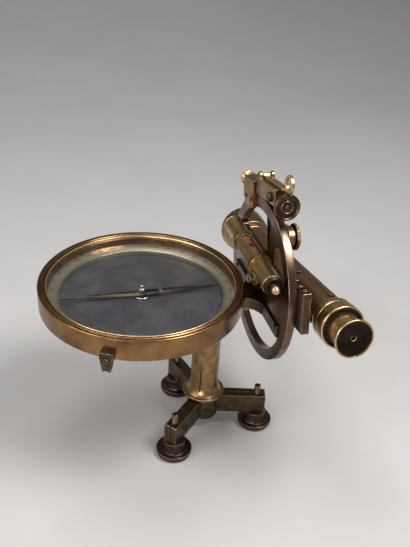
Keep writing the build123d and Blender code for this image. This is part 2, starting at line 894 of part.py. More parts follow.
# Yoke: tongue under the bridge, flared arms and thin pads on the web
with BuildPart() as yoke:
    with BuildSketch(Plane.XY.offset(yoke_base)):
        with BuildLine():
            Polyline(
                (bridge_front, yoke_stem_half),
                (lap_start, yoke_stem_half),
                (lap_start, -yoke_stem_half),
                (bridge_front, -yoke_stem_half),
            )
            Spline(
                (bridge_front, -yoke_stem_half),
                (circle_x, -yoke_flare_half),
                tangents=[(1, -0.3), (0.15, -1)],
            )
            Line((circle_x, -yoke_flare_half), (circle_x, yoke_flare_half))
            Spline(
                (circle_x, yoke_flare_half),
                (bridge_front, yoke_stem_half),
                tangents=[(-0.15, -1), (-1, -0.3)],
            )
        make_face()
    extrude(amount=yoke_height)
    with BuildSketch(Plane.XY.offset(yoke_base)):
        with Locations((circle_x, 0)):
            Rectangle(yoke_pad_t, 2 * yoke_pad_half, align=(Align.MAX, Align.CENTER))
    extrude(amount=yoke_height)
    with BuildSketch(Plane.XY.offset(column_top + lap_deep)):
        with Locations((lap_start - 1, 0)):
            Rectangle(
                bridge_front + turn_gap - lap_start + 1, 3 * yoke_stem_half, align=(Align.MIN, Align.CENTER)
            )
    extrude(amount=yoke_height, mode=Mode.SUBTRACT)
    with BuildSketch(Plane.XY.offset(yoke_base)):
        with Locations((lap_screw_x, -lap_screw_y), (lap_screw_x, lap_screw_y)):
            Circle(yoke_screw_r + seat_fit)
    extrude(amount=yoke_height, mode=Mode.SUBTRACT)
    with BuildSketch(circle_plane.offset(circle_x)):
        with Locations(
            (-yoke_screw_y, yoke_base + yoke_screw_up - axis_z),
            (yoke_screw_y, yoke_base + yoke_screw_up - axis_z),
        ):
            Circle(yoke_screw_r + seat_fit)
    extrude(amount=-yoke_pad_t, mode=Mode.SUBTRACT)
yoke.part.label = "yoke"
export_step(yoke.part, "parts/yoke.step")

with BuildPart() as yoke_screws:
    for side in (-1, 1):
        add(
            slotted_screw(
                Vector(circle_x - yoke_pad_t, side * yoke_screw_y, yoke_base + yoke_screw_up),
                Vector(-1, 0, 0),
                yoke_screw_head_r,
                yoke_screw_head_t,
                yoke_screw_r,
                yoke_pad_t + circle_t * 0.7,
            )
        )
        add(
            slotted_screw(
                Vector(lap_screw_x, side * lap_screw_y, yoke_base),
                Vector(0, 0, -1),
                yoke_screw_head_r,
                yoke_screw_head_t,
                yoke_screw_r,
                column_top + bridge_t - yoke_base - 2,
            )
        )
yoke_screws.part.label = "yoke_screws"
export_step(yoke_screws.part, "parts/yoke_screws.step")

# Level tube: windowed above, with beads at its ends and beside the window
level_centre = Vector(level_x, 0, axis_z + level_above_axis)
level_axis = Axis(level_centre, (0, 1, 0))
level_section = lathe_plane(level_centre, (0, 1, 0), (0, 0, 1))
with BuildPart() as level_tube:
    with BuildSketch(level_section):
        with Locations((level_bore_r, 0)):
            Rectangle(level_r - level_bore_r, 2 * level_half, align=(Align.MIN, Align.CENTER))
        with Locations((level_r, -level_half + level_bead_w / 2), (level_r, level_half - level_bead_w / 2)):
            Rectangle(2 * (level_bead_r - level_r), level_bead_w)
    revolve(axis=level_axis)
    with BuildSketch(Plane(level_centre)):
        with Locations((0, (window_near + window_far) / 2)):
            SlotOverall(window_far - window_near, 2 * window_half_w, rotation=90)
    extrude(amount=2 * level_r, mode=Mode.SUBTRACT)
level_tube.part.label = "level_tube"
export_step(level_tube.part, "parts/level_tube.step")

with BuildPart() as level_vial:
    with BuildSketch(level_section):
        with BuildLine():
            Polyline(
                (0, -vial_half),
                (vial_r - 1.8, -vial_half),
                (vial_r - 0.4, -vial_half + 1.0),
                (vial_r, -vial_half + 2.6),
                (vial_r, vial_half - 2.6),
                (vial_r - 0.4, vial_half - 1.0),
                (vial_r - 1.8, vial_half),
                (0, vial_half),
                (0, -vial_half),
            )
        make_face()
    revolve(axis=level_axis)
level_vial.part.label = "level_vial"
export_step(level_vial.part, "parts/level_vial.step")

# Plugs at both ends of the level, each with a small stud
with BuildPart() as level_caps:
    for side in (-1, 1):
        end = level_centre + Vector(0, side * level_half, 0)
        outward = Vector(0, side, 0)
        with BuildSketch(lathe_plane(end, outward, (0, 0, 1))):
            Polygon(
                (0, vial_half - level_half + turn_gap),
                (level_bore_r - seat_fit, vial_half - level_half + turn_gap),
                (level_bore_r - seat_fit, 0),
                (level_r, 0),
                (level_r, level_cap_t * 0.6),
                (level_r - 1.2, level_cap_t),
                (level_stud_r, level_cap_t),
                (level_stud_r, level_cap_t + level_stud_t),
                (0, level_cap_t + level_stud_t),
                align=None,
            )
        revolve(axis=Axis(end, outward))
level_caps.part.label = "level_caps"
export_step(level_caps.part, "parts/level_caps.step")

# Brackets: a strap round the level and a foot on the web
strap_r = level_r + bracket_wall
with BuildPart() as level_brackets:
    for side in (-1, 1):
        middle = level_centre + Vector(0, side * bracket_y, 0)
        with BuildSketch(Plane(middle, (1, 0, 0), (0, -1, 0))):
            Circle(strap_r)
            with Locations((circle_x - level_x, -level_above_axis + bracket_foot_low)):
                Rectangle(
                    bracket_foot_t,
                    bracket_foot_high - bracket_foot_low + 4,
                    align=(Align.MAX, Align.MIN),
                )
            Circle(level_r + seat_fit, mode=Mode.SUBTRACT)
            with Locations((circle_x - level_x, 0)):
                Rectangle(strap_r, 4 * strap_r, align=(Align.MIN, Align.CENTER), mode=Mode.SUBTRACT)
        extrude(amount=bracket_w / 2, both=True)
        foot_middle = Vector(circle_x - bracket_foot_t, side * bracket_y, axis_z + bracket_foot_low + 4)
        foot_hole = peg(foot_middle, Vector(1, 0, 0), small_shank_r + seat_fit, bracket_foot_t)
        add(foot_hole, mode=Mode.SUBTRACT)
level_brackets.part.label = "level_brackets"
export_step(level_brackets.part, "parts/level_brackets.step")

# Screws of the level: capstan adjuster at the near end, one foot screw in each bracket
adjuster_end = level_centre - Vector(0, level_half + level_cap_t + level_stud_t, 0)
with BuildPart() as level_screws:
    with BuildSketch(lathe_plane(adjuster_end, (0, -1, 0), (0, 0, 1))):
        Polygon(
            (0, 0),
            (adjuster_r * 0.8, 0),
            (adjuster_r, 0.5),
            (adjuster_r, adjuster_length - 2.6),
            (adjuster_r * 0.72, adjuster_length - 2.0),
            (adjuster_r * 0.9, adjuster_length - 1.2),
            (adjuster_r * 0.6, adjuster_length),
            (0, adjuster_length),
            align=None,
        )
    revolve(axis=Axis(adjuster_end, (0, -1, 0)))
    for side in (-1, 1):
        foot_middle = Vector(circle_x - bracket_foot_t, side * bracket_y, axis_z + bracket_foot_low + 4)
        add(slotted_screw(foot_middle, Vector(-1, 0, 0), 2.0, 1.2, small_shank_r, bracket_foot_t - 0.2))
level_screws.part.label = "level_screws"
export_step(level_screws.part, "parts/level_screws.step")

# Trunnion: shaft through the circle's boss, threaded end towards the compass
washer_x = circle_x - boss_t - turn_gap - trunnion_washer_t
with BuildPart() as trunnion:
    with BuildSketch(circle_plane.offset(washer_x + trunnion_washer_t)):
        Circle(trunnion_r)
    extrude(amount=clamp_arm_back_x - washer_x - trunnion_washer_t)
    with BuildSketch(circle_plane.offset(washer_x + trunnion_washer_t)):
        Circle(trunnion_thread_r)
    extrude(amount=-(trunnion_washer_t + trunnion_nut_t + 0.8))
trunnion.part.label = "trunnion"
export_step(trunnion.part, "parts/trunnion.step")

with BuildPart() as trunnion_washer:
    with BuildSketch(circle_plane.offset(washer_x)):
        Circle(trunnion_washer_r)
        Circle(trunnion_thread_r + seat_fit, mode=Mode.SUBTRACT)
    extrude(amount=trunnion_washer_t)
    chamfer(trunnion_washer.edges().group_by(Axis.X)[0].sort_by(SortBy.RADIUS)[-1], 0.5)
trunnion_washer.part.label = "trunnion_washer"
export_step(trunnion_washer.part, "parts/trunnion_washer.step")

with BuildPart() as trunnion_nut:
    with BuildSketch(circle_plane.offset(washer_x - trunnion_nut_t)):
        Circle(trunnion_nut_r)
        Circle(trunnion_thread_r + seat_fit, mode=Mode.SUBTRACT)
    extrude(amount=trunnion_nut_t)
    fillet(trunnion_nut.edges().group_by(Axis.X)[0].sort_by(SortBy.RADIUS)[-1], 0.9)
trunnion_nut.part.label = "trunnion_nut"
export_step(trunnion_nut.part, "parts/trunnion_nut.step")

# Vernier arm: bar, hub, branch to the tangent screw's lug, and lug of the clamp screw
tangent_hole_plane = Plane(tilted(tangent_x, 0, tangent_up), across_dir, sight_dir)
with BuildPart() as vernier_arm:
    with BuildSketch(limb_plane.offset(arm_x)):
        Rectangle(2 * arm_bar_reach, 2 * arm_bar_half)
        Circle(arm_hub_r)
        Polygon(
            (branch_near, 0),
            (branch_far, 0),
            (branch_top_far, lug_high),
            (branch_top_near, lug_high),
            align=None,
        )
    extrude(amount=arm_t)
    with BuildSketch(limb_plane.offset(arm_x)):
        with Locations((clamp_screw_place, clamp_screw_up)):
            Circle(clamp_lug_r)
        Polygon(
            (clamp_screw_place, clamp_screw_up + clamp_lug_r),
            (clamp_screw_place, clamp_screw_up - clamp_lug_r),
            (branch_near, clamp_screw_up - 2.2 * clamp_lug_r),
            (branch_near, clamp_screw_up + clamp_lug_r * 0.6),
            align=None,
        )
    extrude(amount=arm_t)
    with BuildSketch(limb_plane.offset(lug_front)):
        Polygon((lug_near, lug_low), (lug_far, lug_low), (lug_far, lug_high), (lug_near, lug_high), align=None)
    extrude(amount=arm_back_x - lug_front)
    for ear_x in (lug_front, arm_back_x - loupe_ear_t):
        with BuildSketch(limb_plane.offset(ear_x)):
            with Locations((loupe_pin_place, loupe_pin_up)):
                Circle(loupe_pin_r + 2.0)
            with Locations((loupe_pin_place, (lug_high + loupe_pin_up) / 2 - 1)):
                Rectangle(2 * loupe_pin_r + 4.0, loupe_pin_up - lug_high + 2)
        extrude(amount=loupe_ear_t)
    with BuildSketch(limb_plane.offset(lug_front)):
        with Locations((loupe_pin_place, loupe_pin_up)):
            Circle(loupe_pin_r + seat_fit)
    extrude(amount=arm_back_x - lug_front, mode=Mode.SUBTRACT)
    with BuildSketch(tangent_hole_plane):
        Circle(tangent_r + shaft_fit)
    extrude(amount=circle_r, both=True, mode=Mode.SUBTRACT)
    lug_mouth = tilted(lug_front, lug_screw_place, lug_screw_up)
    add(peg(lug_mouth, across_dir, small_shank_r + seat_fit, 2.3), mode=Mode.SUBTRACT)
    with BuildSketch(limb_plane.offset(arm_x)):
        Circle(trunnion_r + seat_fit)
        with Locations((clamp_screw_place, clamp_screw_up)):
            Circle(clamp_screw_r + shaft_fit)
    extrude(amount=arm_t, mode=Mode.SUBTRACT)
vernier_arm.part.label = "vernier_arm"
export_step(vernier_arm.part, "parts/vernier_arm.step")

# Vernier plates on the circle's outer face, under windowed blocks
vernier_middle = arm_bar_reach + vernier_width / 2
with BuildPart() as vernier_plates:
    with BuildSketch(limb_plane.offset(arm_x)):
        with Locations((-vernier_middle, 0), (vernier_middle, 0)):
            Rectangle(vernier_width - 2, 2 * (vernier_half - 2))
    extrude(amount=vernier_plate_t)
vernier_plates.part.label = "vernier_plates"
export_step(vernier_plates.part, "parts/vernier_plates.step")

with BuildPart() as vernier_blocks:
    with BuildSketch(limb_plane.offset(arm_x + vernier_plate_t)):
        with Locations((-vernier_middle, 0), (vernier_middle, 0)):
            Rectangle(vernier_width, 2 * vernier_half)
            Rectangle(vernier_window_w, 2 * vernier_window_half, mode=Mode.SUBTRACT)
    extrude(amount=vernier_block_t)
    for side in (-1, 1):
        for step in (-vernier_screw_dt, vernier_screw_dt):
            mouth = tilted(
                arm_x + vernier_plate_t + vernier_block_t / 2, side * vernier_middle + step, vernier_half
            )
            add(peg(mouth, rise_dir * -1, small_shank_r + seat_fit, 4.4), mode=Mode.SUBTRACT)
vernier_blocks.part.label = "vernier_blocks"
export_step(vernier_blocks.part, "parts/vernier_blocks.step")

with BuildPart() as vernier_screws:
    for side in (-1, 1):
        for step in (-vernier_screw_dt, vernier_screw_dt):
            head = tilted(
                arm_x + vernier_plate_t + vernier_block_t / 2, side * vernier_middle + step, vernier_half
            )
            add(slotted_screw(head, rise_dir, vernier_screw_r, vernier_screw_t, small_shank_r, 4.0))
vernier_screws.part.label = "vernier_screws"
export_step(vernier_screws.part, "parts/vernier_screws.step")

# Clamp arm: steel bar from the trunnion to the clamp block
with BuildPart() as clamp_arm:
    with BuildSketch(limb_plane.offset(arm_back_x)):
        Circle(clamp_hub_r)
        Rectangle(
            clamp_arm_reach, clamp_arm_w, rotation=90 - clamp_arm_lean_deg, align=(Align.MIN, Align.CENTER)
        )
        Circle(trunnion_r + seat_fit, mode=Mode.SUBTRACT)
    extrude(amount=clamp_arm_t)
clamp_arm.part.label = "clamp_arm"
export_step(clamp_arm.part, "parts/clamp_arm.step")

# Clamp block astride the rim of the circle
jaw_front_x = circle_x - turn_gap - jaw_t
with BuildPart() as clamp_block:
    with BuildSketch(limb_plane.offset(jaw_front_x)):
        Polygon(
            (clamp_block_near, clamp_block_low),
            (clamp_block_far - 6, clamp_block_low),
            (clamp_block_far, clamp_block_low + 8),
            (clamp_block_far, clamp_block_high),
            (clamp_block_near, clamp_block_high),
            align=None,
        )
    extrude(amount=arm_back_x - jaw_front_x)
    with BuildSketch(limb_plane.offset(circle_x - turn_gap)):
        Circle(circle_r + turn_gap)
    extrude(amount=circle_t + 2 * turn_gap, mode=Mode.SUBTRACT)
    with BuildSketch(tangent_hole_plane):
        Circle(tangent_r + shaft_fit)
    extrude(amount=circle_r, both=True, mode=Mode.SUBTRACT)
    for along in jaw_screw_places:
        jaw_mouth = tilted(jaw_front_x, along, jaw_screw_up)
        add(peg(jaw_mouth, across_dir, small_shank_r + seat_fit, jaw_t), mode=Mode.SUBTRACT)
clamp_block.part.label = "clamp_block"
export_step(clamp_block.part, "parts/clamp_block.step")

# Fixing screws on the clamp block's jaw and on the lug's front
with BuildPart() as clamp_fixings:
    for along in jaw_screw_places:
        jaw_head = tilted(jaw_front_x, along, jaw_screw_up)
        add(slotted_screw(jaw_head, Vector(-1, 0, 0), 1.9, 1.1, small_shank_r, jaw_t - 0.4))
    lug_head = tilted(lug_front, lug_screw_place, lug_screw_up)
    add(slotted_screw(lug_head, Vector(-1, 0, 0), 4.2, 2.6, small_shank_r, 2.0))
clamp_fixings.part.label = "clamp_fixings"
export_step(clamp_fixings.part, "parts/clamp_fixings.step")

# Clamp screw with its disc knob
clamp_knob_x = arm_back_x + turn_gap
clamp_point = tilted(circle_outer_x + turn_gap, clamp_screw_place, clamp_screw_up)
with BuildPart() as clamp_screw:
    with BuildSketch(lathe_plane(clamp_point, across_dir, rise_dir)):
        knob_base = clamp_knob_x - circle_outer_x - turn_gap
        Polygon(
            (0, 0),
            (clamp_screw_r, 0),
            (clamp_screw_r, knob_base),
            (clamp_screw_r + 1.4, knob_base),
            (clamp_screw_r + 1.4, knob_base + 0.8),
            (clamp_knob_r - 0.8, knob_base + 0.8),
            (clamp_knob_r, knob_base + 1.6),
            (clamp_knob_r, knob_base + clamp_knob_t - 0.8),
            (clamp_knob_r - 0.8, knob_base + clamp_knob_t),
            (clamp_knob_r - 2.2, knob_base + clamp_knob_t),
            (clamp_knob_r - 3.0, knob_base + clamp_knob_t - 0.6),
            (0, knob_base + clamp_knob_t - 0.2),
            align=None,
        )
    revolve(axis=Axis(clamp_point, across_dir))
clamp_screw.part.label = "clamp_screw"
export_step(clamp_screw.part, "parts/clamp_screw.step")

# Tangent screw: shaft, collar and near disc knob
tangent_origin = tilted(tangent_x, 0, tangent_up)
tangent_axis = Axis(tangent_origin, sight_dir)
tangent_section = lathe_plane(tangent_origin, sight_dir, rise_dir)
trumpet_start = clamp_block_far + turn_gap
with BuildPart() as tangent_screw:
    head_back = tangent_head_near + tangent_head_t
    with BuildSketch(tangent_section):
        Polygon(
            (0, tangent_head_near + tangent_head_dish + 0.6),
            (tangent_head_r - 3.4, tangent_head_near + tangent_head_dish),
            (tangent_head_r - 1.6, tangent_head_near),
            (tangent_head_r - 0.6, tangent_head_near),
            (tangent_head_r, tangent_head_near + 0.8),
            (tangent_head_r, head_back - 1.0),
            (tangent_head_r - 0.8, head_back - 0.2),
            (tangent_collar_r + 1.6, head_back),
            (tangent_collar_r, head_back + 1.8),
            (tangent_collar_r, lug_near - turn_gap),
            (tangent_r, lug_near - turn_gap),
            (tangent_r, trumpet_start),
            (0, trumpet_start),
            align=None,
        )
    revolve(axis=tangent_axis)
tangent_screw.part.label = "tangent_screw"
export_step(tangent_screw.part, "parts/tangent_screw.step")

# Trumpet-shaped knob on the far end of the tangent screw
with BuildPart() as tangent_end_knob:
    with BuildSketch(tangent_section):
        with BuildLine():
            trumpet_end = trumpet_start + trumpet_length
            Polyline((0, trumpet_end), (0, trumpet_start), (trumpet_neck_r + 0.8, trumpet_start))
            Spline(
                (trumpet_neck_r + 0.8, trumpet_start),
                (trumpet_neck_r + 0.6, trumpet_start + 3.5),
                (trumpet_r - 0.5, trumpet_end - 3.2),
            )
            Polyline(
                (trumpet_r - 0.5, trumpet_end - 3.2),
                (trumpet_r, trumpet_end - 2.8),
                (trumpet_r, trumpet_end - 0.8),
                (trumpet_r - 0.8, trumpet_end),
                (0, trumpet_end),
            )
        make_face()
    revolve(axis=tangent_axis)
tangent_end_knob.part.label = "tangent_end_knob"
export_step(tangent_end_knob.part, "parts/tangent_end_knob.step")

# Reading loupe: eye on its pin, bar and lens ring
loupe_bar_low = loupe_pin_up - loupe_eye_r
loupe_x = (lug_front + arm_back_x) / 2
with BuildPart() as loupe_pin:
    with BuildSketch(limb_plane.offset(lug_front)):
        with Locations((loupe_pin_place, loupe_pin_up)):
            Circle(loupe_pin_r)
    extrude(amount=arm_back_x - lug_front)
loupe_pin.part.label = "loupe_pin"
export_step(loupe_pin.part, "parts/loupe_pin.step")

with BuildPart() as loupe_arm:
    with BuildSketch(limb_plane.offset(loupe_x)):
        with Locations((loupe_pin_place, loupe_pin_up)):
            Circle(loupe_eye_r)
        Polygon(
            (loupe_pin_place, loupe_bar_low),
            (loupe_pin_place, loupe_bar_low + loupe_bar_t),
            (loupe_ring_place + loupe_ring_r, loupe_bar_low + loupe_bar_t),
            (loupe_ring_place + loupe_ring_r, loupe_bar_low),
            align=None,
        )
        with Locations((loupe_pin_place, loupe_pin_up)):
            Circle(loupe_pin_r + shaft_fit, mode=Mode.SUBTRACT)
    extrude(amount=loupe_bar_w / 2, both=True)
    with BuildSketch(limb_plane.offset(loupe_x)):
        with Locations((loupe_ring_place, loupe_ring_up)):
            Circle(loupe_ring_r)
        Polygon(
            (loupe_ring_place, loupe_bar_low),
            (loupe_ring_place + loupe_ring_r + 3, loupe_bar_low),
            (loupe_ring_place + loupe_ring_r + 3, loupe_bar_low + loupe_bar_t),
            (loupe_ring_place, loupe_ring_up),
            align=None,
        )
        with Locations((loupe_ring_place, loupe_ring_up)):
            Circle(loupe_lens_r, mode=Mode.SUBTRACT)
    extrude(amount=loupe_ring_t / 2, both=True)
loupe_arm.part.label = "loupe_arm"
export_step(loupe_arm.part, "parts/loupe_arm.step")

with BuildPart() as loupe_lens:
    with BuildSketch(lathe_plane(tilted(loupe_x, loupe_ring_place, loupe_ring_up), across_dir, rise_dir)):
        Polygon(
            (0, -1.1),
            (loupe_lens_r * 0.5, -0.9),
            (loupe_lens_r - seat_fit, -0.3),
            (loupe_lens_r - seat_fit, 0.3),
            (loupe_lens_r * 0.5, 0.9),
            (0, 1.1),
            align=None,
        )
    revolve(axis=Axis(tilted(loupe_x, loupe_ring_place, loupe_ring_up), across_dir))
loupe_lens.part.label = "loupe_lens"
export_step(loupe_lens.part, "parts/loupe_lens.step")

# Telescope saddle between the clamp arm and the tube
tube_origin = tilted(tube_x, 0, -tube_drop)
tube_axis = Axis(tube_origin, sight_dir)
tube_section = lathe_plane(tube_origin, sight_dir, rise_dir)
tube_cross = Plane(tube_origin, across_dir, sight_dir)
with BuildPart() as telescope_saddle:
    with BuildSketch(limb_plane.offset(clamp_arm_back_x)):
        Polygon(
            (-saddle_half, -saddle_low),
            (saddle_half, -saddle_low),
            (saddle_half, saddle_high),
            (-saddle_half, saddle_high),
            align=None,
        )
    extrude(amount=saddle_reach - clamp_arm_back_x)
    with BuildSketch(tube_cross):
        Circle(tube_r + seat_fit)
    extrude(amount=2 * saddle_half, both=True, mode=Mode.SUBTRACT)
telescope_saddle.part.label = "telescope_saddle"
export_step(telescope_saddle.part, "parts/telescope_saddle.step")

# Main tube with the bead at its objective end
with BuildPart() as main_tube:
    with BuildSketch(tube_section):
        with BuildLine():
            Polyline(
                (tube_bore_r, tube_far),
                (tube_bore_r, tube_near),
                (tube_r, tube_near),
                (tube_r, tube_far - tube_bead_w),
                (tube_bead_r - 0.5, tube_far - tube_bead_w + 0.6),
            )
            ThreePointArc(
                (tube_bead_r - 0.5, tube_far - tube_bead_w + 0.6),
                (tube_bead_r, tube_far - tube_bead_w / 2),
                (tube_bead_r - 0.5, tube_far),
            )
            Line((tube_bead_r - 0.5, tube_far), (tube_bore_r, tube_far))
        make_face()
    revolve(axis=tube_axis)
    for step in range(reticle_screw_count):
        turn = math.radians(reticle_screw_deg + step * 360 / reticle_screw_count)
        outward = across_dir * math.cos(turn) + rise_dir * math.sin(turn)
        with BuildSketch(Plane(tube_origin + sight_dir * reticle_place, sight_dir, outward)):
            Circle(tube_screw_r + seat_fit)
        extrude(amount=tube_r + 1, mode=Mode.SUBTRACT)
    stop_turn = math.radians(stop_screw_deg)
    stop_out = across_dir * math.cos(stop_turn) + rise_dir * math.sin(stop_turn)
    with BuildSketch(Plane(tube_origin + sight_dir * stop_place, sight_dir, stop_out)):
        Circle(tube_screw_r + seat_fit)
    extrude(amount=tube_r + 1, mode=Mode.SUBTRACT)
main_tube.part.label = "main_tube"
export_step(main_tube.part, "parts/main_tube.step")

# Ring that stops stray light, held by the tube's top screw
with BuildPart() as glare_stop:
    with BuildSketch(Plane(tube_origin + sight_dir * (stop_place - stop_t / 2), across_dir, sight_dir)):
        Circle(tube_bore_r - seat_fit)
        Circle(stop_hole_r, mode=Mode.SUBTRACT)
    extrude(amount=stop_t)
glare_stop.part.label = "glare_stop"
export_step(glare_stop.part, "parts/glare_stop.step")

# Cross-hair diaphragm
with BuildPart() as reticle:
    with BuildSketch(Plane(tube_origin + sight_dir * (reticle_place - reticle_t / 2), across_dir, sight_dir)):
        Circle(reticle_r)
        Circle(reticle_hole_r, mode=Mode.SUBTRACT)
    extrude(amount=reticle_t)
reticle.part.label = "reticle"
export_step(reticle.part, "parts/reticle.step")

# Slotted screws on the tube: three hold the diaphragm, one the glare stop
with BuildPart() as tube_screws:
    for step in range(reticle_screw_count):
        turn = math.radians(reticle_screw_deg + step * 360 / reticle_screw_count)
        outward = across_dir * math.cos(turn) + rise_dir * math.sin(turn)
        head = tube_origin + sight_dir * reticle_place + outward * tube_r
        add(
            slotted_screw(
                head, outward, tube_screw_head_r, tube_screw_head_t, tube_screw_r, tube_r - reticle_r
            )
        )
    head = tube_origin + sight_dir * stop_place + stop_out * tube_r
    add(
        slotted_screw(
            head, stop_out, tube_screw_head_r, tube_screw_head_t, tube_screw_r, tube_r - tube_bore_r
        )
    )
tube_screws.part.label = "tube_screws"
export_step(tube_screws.part, "parts/tube_screws.step")

# Objective bell: stepped at the tube and flared to its mouth
with BuildPart() as objective_bell:
    with BuildSketch(tube_section):
        with BuildLine():
            Polyline(
                (tube_bore_r, tube_far),
                (bell_start_r, tube_far),
                (bell_start_r, tube_far + 1.6),
            )
            Spline(
                (bell_start_r, tube_far + 1.6),
                (bell_mid_r, bell_mid),
                (bell_end_r - 0.4, bell_end - 4.0),
            )
            Polyline(
                (bell_end_r - 0.4, bell_end - 4.0),
                (bell_end_r, bell_end - 3.4),
                (bell_end_r, bell_end - 0.6),
                (bell_end_r - 0.6, bell_end),
                (bell_end_r - bell_wall, bell_end),
                (bell_mid_r - bell_wall, lens_seat),
                (bell_mid_r - bell_wall - 1.6, lens_seat),
                (tube_bore_r, tube_far + 4.0),
                (tube_bore_r, tube_far),
            )
        make_face()
    revolve(axis=tube_axis)
objective_bell.part.label = "objective_bell"
export_step(objective_bell.part, "parts/objective_bell.step")

# Objective lens and the ring in front of it
lens_r = bell_mid_r - bell_wall - seat_fit
lens_open_r = lens_r - cell_ring_w - 0.3
with BuildPart() as objective_lens:
    with BuildSketch(tube_section):
        with BuildLine():
            Line((0, lens_seat - lens_bulge * 0.4), (0, lens_seat + lens_edge_t + lens_bulge))
            ThreePointArc(
                (0, lens_seat + lens_edge_t + lens_bulge),
                (lens_open_r * 0.6, lens_seat + lens_edge_t + lens_bulge * 0.65),
                (lens_open_r, lens_seat + lens_edge_t),
            )
            Polyline(
                (lens_open_r, lens_seat + lens_edge_t),
                (lens_r, lens_seat + lens_edge_t),
                (lens_r, lens_seat),
                (lens_open_r, lens_seat),
                (0, lens_seat - lens_bulge * 0.4),
            )
        make_face()
    revolve(axis=tube_axis)
objective_lens.part.label = "objective_lens"
export_step(objective_lens.part, "parts/objective_lens.step")

with BuildPart() as objective_ring:
    with BuildSketch(tube_section):
        with Locations((lens_r - cell_ring_w, lens_seat + lens_edge_t + 0.1)):
            Rectangle(cell_ring_w, cell_ring_t, align=(Align.MIN, Align.MIN))
    revolve(axis=tube_axis)
objective_ring.part.label = "objective_ring"
export_step(objective_ring.part, "parts/objective_ring.step")

# Eyepiece collar: recessed mouth, band, groove and polished bead
with BuildPart() as eyepiece_collar:
    guide_r = draw_r + shaft_fit
    with BuildSketch(tube_section):
        with BuildLine():
            Polyline(
                (guide_r, tube_near),
                (guide_r, collar_near + collar_recess_deep),
                (collar_recess_r, collar_near + collar_recess_deep),
                (collar_recess_r, collar_near),
                (collar_r - 0.5, collar_near),
                (collar_r, collar_near + 0.5),
                (collar_r, collar_groove - collar_groove_w),
                (collar_groove_r, collar_groove - collar_groove_w),
                (collar_groove_r, collar_groove),
            )
            ThreePointArc(
                (collar_groove_r, collar_groove),
                (collar_bead_r, (collar_groove + tube_near) / 2),
                (collar_groove_r, tube_near),
            )
            Line((collar_groove_r, tube_near), (guide_r, tube_near))
        make_face()
    revolve(axis=tube_axis)
eyepiece_collar.part.label = "eyepiece_collar"
export_step(eyepiece_collar.part, "parts/eyepiece_collar.step")

# Draw tube
with BuildPart() as draw_tube:
    with BuildSketch(Plane(tube_origin + sight_dir * draw_near, across_dir, sight_dir)):
        Circle(draw_r)
        Circle(draw_bore_r, mode=Mode.SUBTRACT)
    extrude(amount=draw_far - draw_near)
draw_tube.part.label = "draw_tube"
export_step(draw_tube.part, "parts/draw_tube.step")

# Eye lens and field lens in the draw tube
with BuildPart() as eyepiece_lenses:
    for place, thickness in ((eye_lens_at, eye_lens_t), (field_lens_at, field_lens_t)):
        with BuildSketch(Plane(tube_origin + sight_dir * place, across_dir, sight_dir)):
            Circle(draw_bore_r - seat_fit)
        extrude(amount=thickness)
eyepiece_lenses.part.label = "eyepiece_lenses"
export_step(eyepiece_lenses.part, "parts/eyepiece_lenses.step")

# Eyecap: dished disc with the eye hole, screwed over the draw tube's end
with BuildPart() as eyecap:
    with BuildSketch(tube_section):
        Polygon(
            (eyecap_hole_r, draw_near),
            (eyecap_hole_r, eyecap_near + eyecap_dish + 0.5),
            (eyecap_hole_r + 1.2, eyecap_near + eyecap_dish),
            (eyecap_r - eyecap_rim - 0.6, eyecap_near + eyecap_dish),
            (eyecap_r - eyecap_rim, eyecap_near),
            (eyecap_r - 0.4, eyecap_near),
            (eyecap_r, eyecap_near + 0.5),
            (eyecap_r, eyecap_near + 2.0),
            (eyecap_r - 0.8, eyecap_near + 2.7),
            (draw_r + 1.0, draw_near + 0.4),
            (draw_r + 0.8, draw_near + eyecap_neck),
            (draw_r + seat_fit, draw_near + eyecap_neck),
            (draw_r + seat_fit, draw_near),
            align=None,
        )
    revolve(axis=tube_axis)
eyecap.part.label = "eyecap"
export_step(eyecap.part, "parts/eyecap.step")
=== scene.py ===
"""Looks of the surveying theodolite: turned brass, a glazed compass, a level, a circle and a telescope.

Sizes are millimetres in the model's own frame and become metres when a mesh is made.
"""

from __future__ import annotations

import logging
import math
from dataclasses import dataclass
from enum import Enum
from typing import Any, Callable, Iterable, Sequence

import bmesh
import bpy
import numpy as np
from mathutils import Matrix, Vector


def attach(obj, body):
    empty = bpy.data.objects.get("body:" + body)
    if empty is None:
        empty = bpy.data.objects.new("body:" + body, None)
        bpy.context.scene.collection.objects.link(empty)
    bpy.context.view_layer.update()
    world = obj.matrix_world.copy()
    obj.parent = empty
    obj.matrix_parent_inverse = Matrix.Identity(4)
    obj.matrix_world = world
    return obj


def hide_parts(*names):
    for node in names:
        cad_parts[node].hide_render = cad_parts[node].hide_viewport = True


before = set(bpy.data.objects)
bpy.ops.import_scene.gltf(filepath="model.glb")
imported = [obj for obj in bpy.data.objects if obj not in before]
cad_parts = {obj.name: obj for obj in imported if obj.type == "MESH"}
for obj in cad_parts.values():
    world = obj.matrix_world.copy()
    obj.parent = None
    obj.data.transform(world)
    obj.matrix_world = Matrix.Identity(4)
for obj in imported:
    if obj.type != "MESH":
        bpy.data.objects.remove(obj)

LOG = logging.getLogger("theodolite")
MM = 0.001  # metres in a millimetre
SMOOTH_DEG = 32.0  # faces that meet at a smaller angle are shaded as one
CORNER_STEPS = 4  # points of each rounded corner of a profile
SIDE_SHARE = 0.45  # most of a side that one rounded corner may take
SAME = 1e-6  # points closer than this are one
Point = Sequence[float]
Tree = bpy.types.NodeTree
Socket = bpy.types.NodeSocket
Node = bpy.types.Node
Piece = bpy.types.Object
Keyed = dict[Any, Any] | None


class Way(Enum):
    """Which of two opposite ways something runs: out or in, above or below, north or south."""

    PLUS = 1
    MINUS = -1


# Colour and node helpers


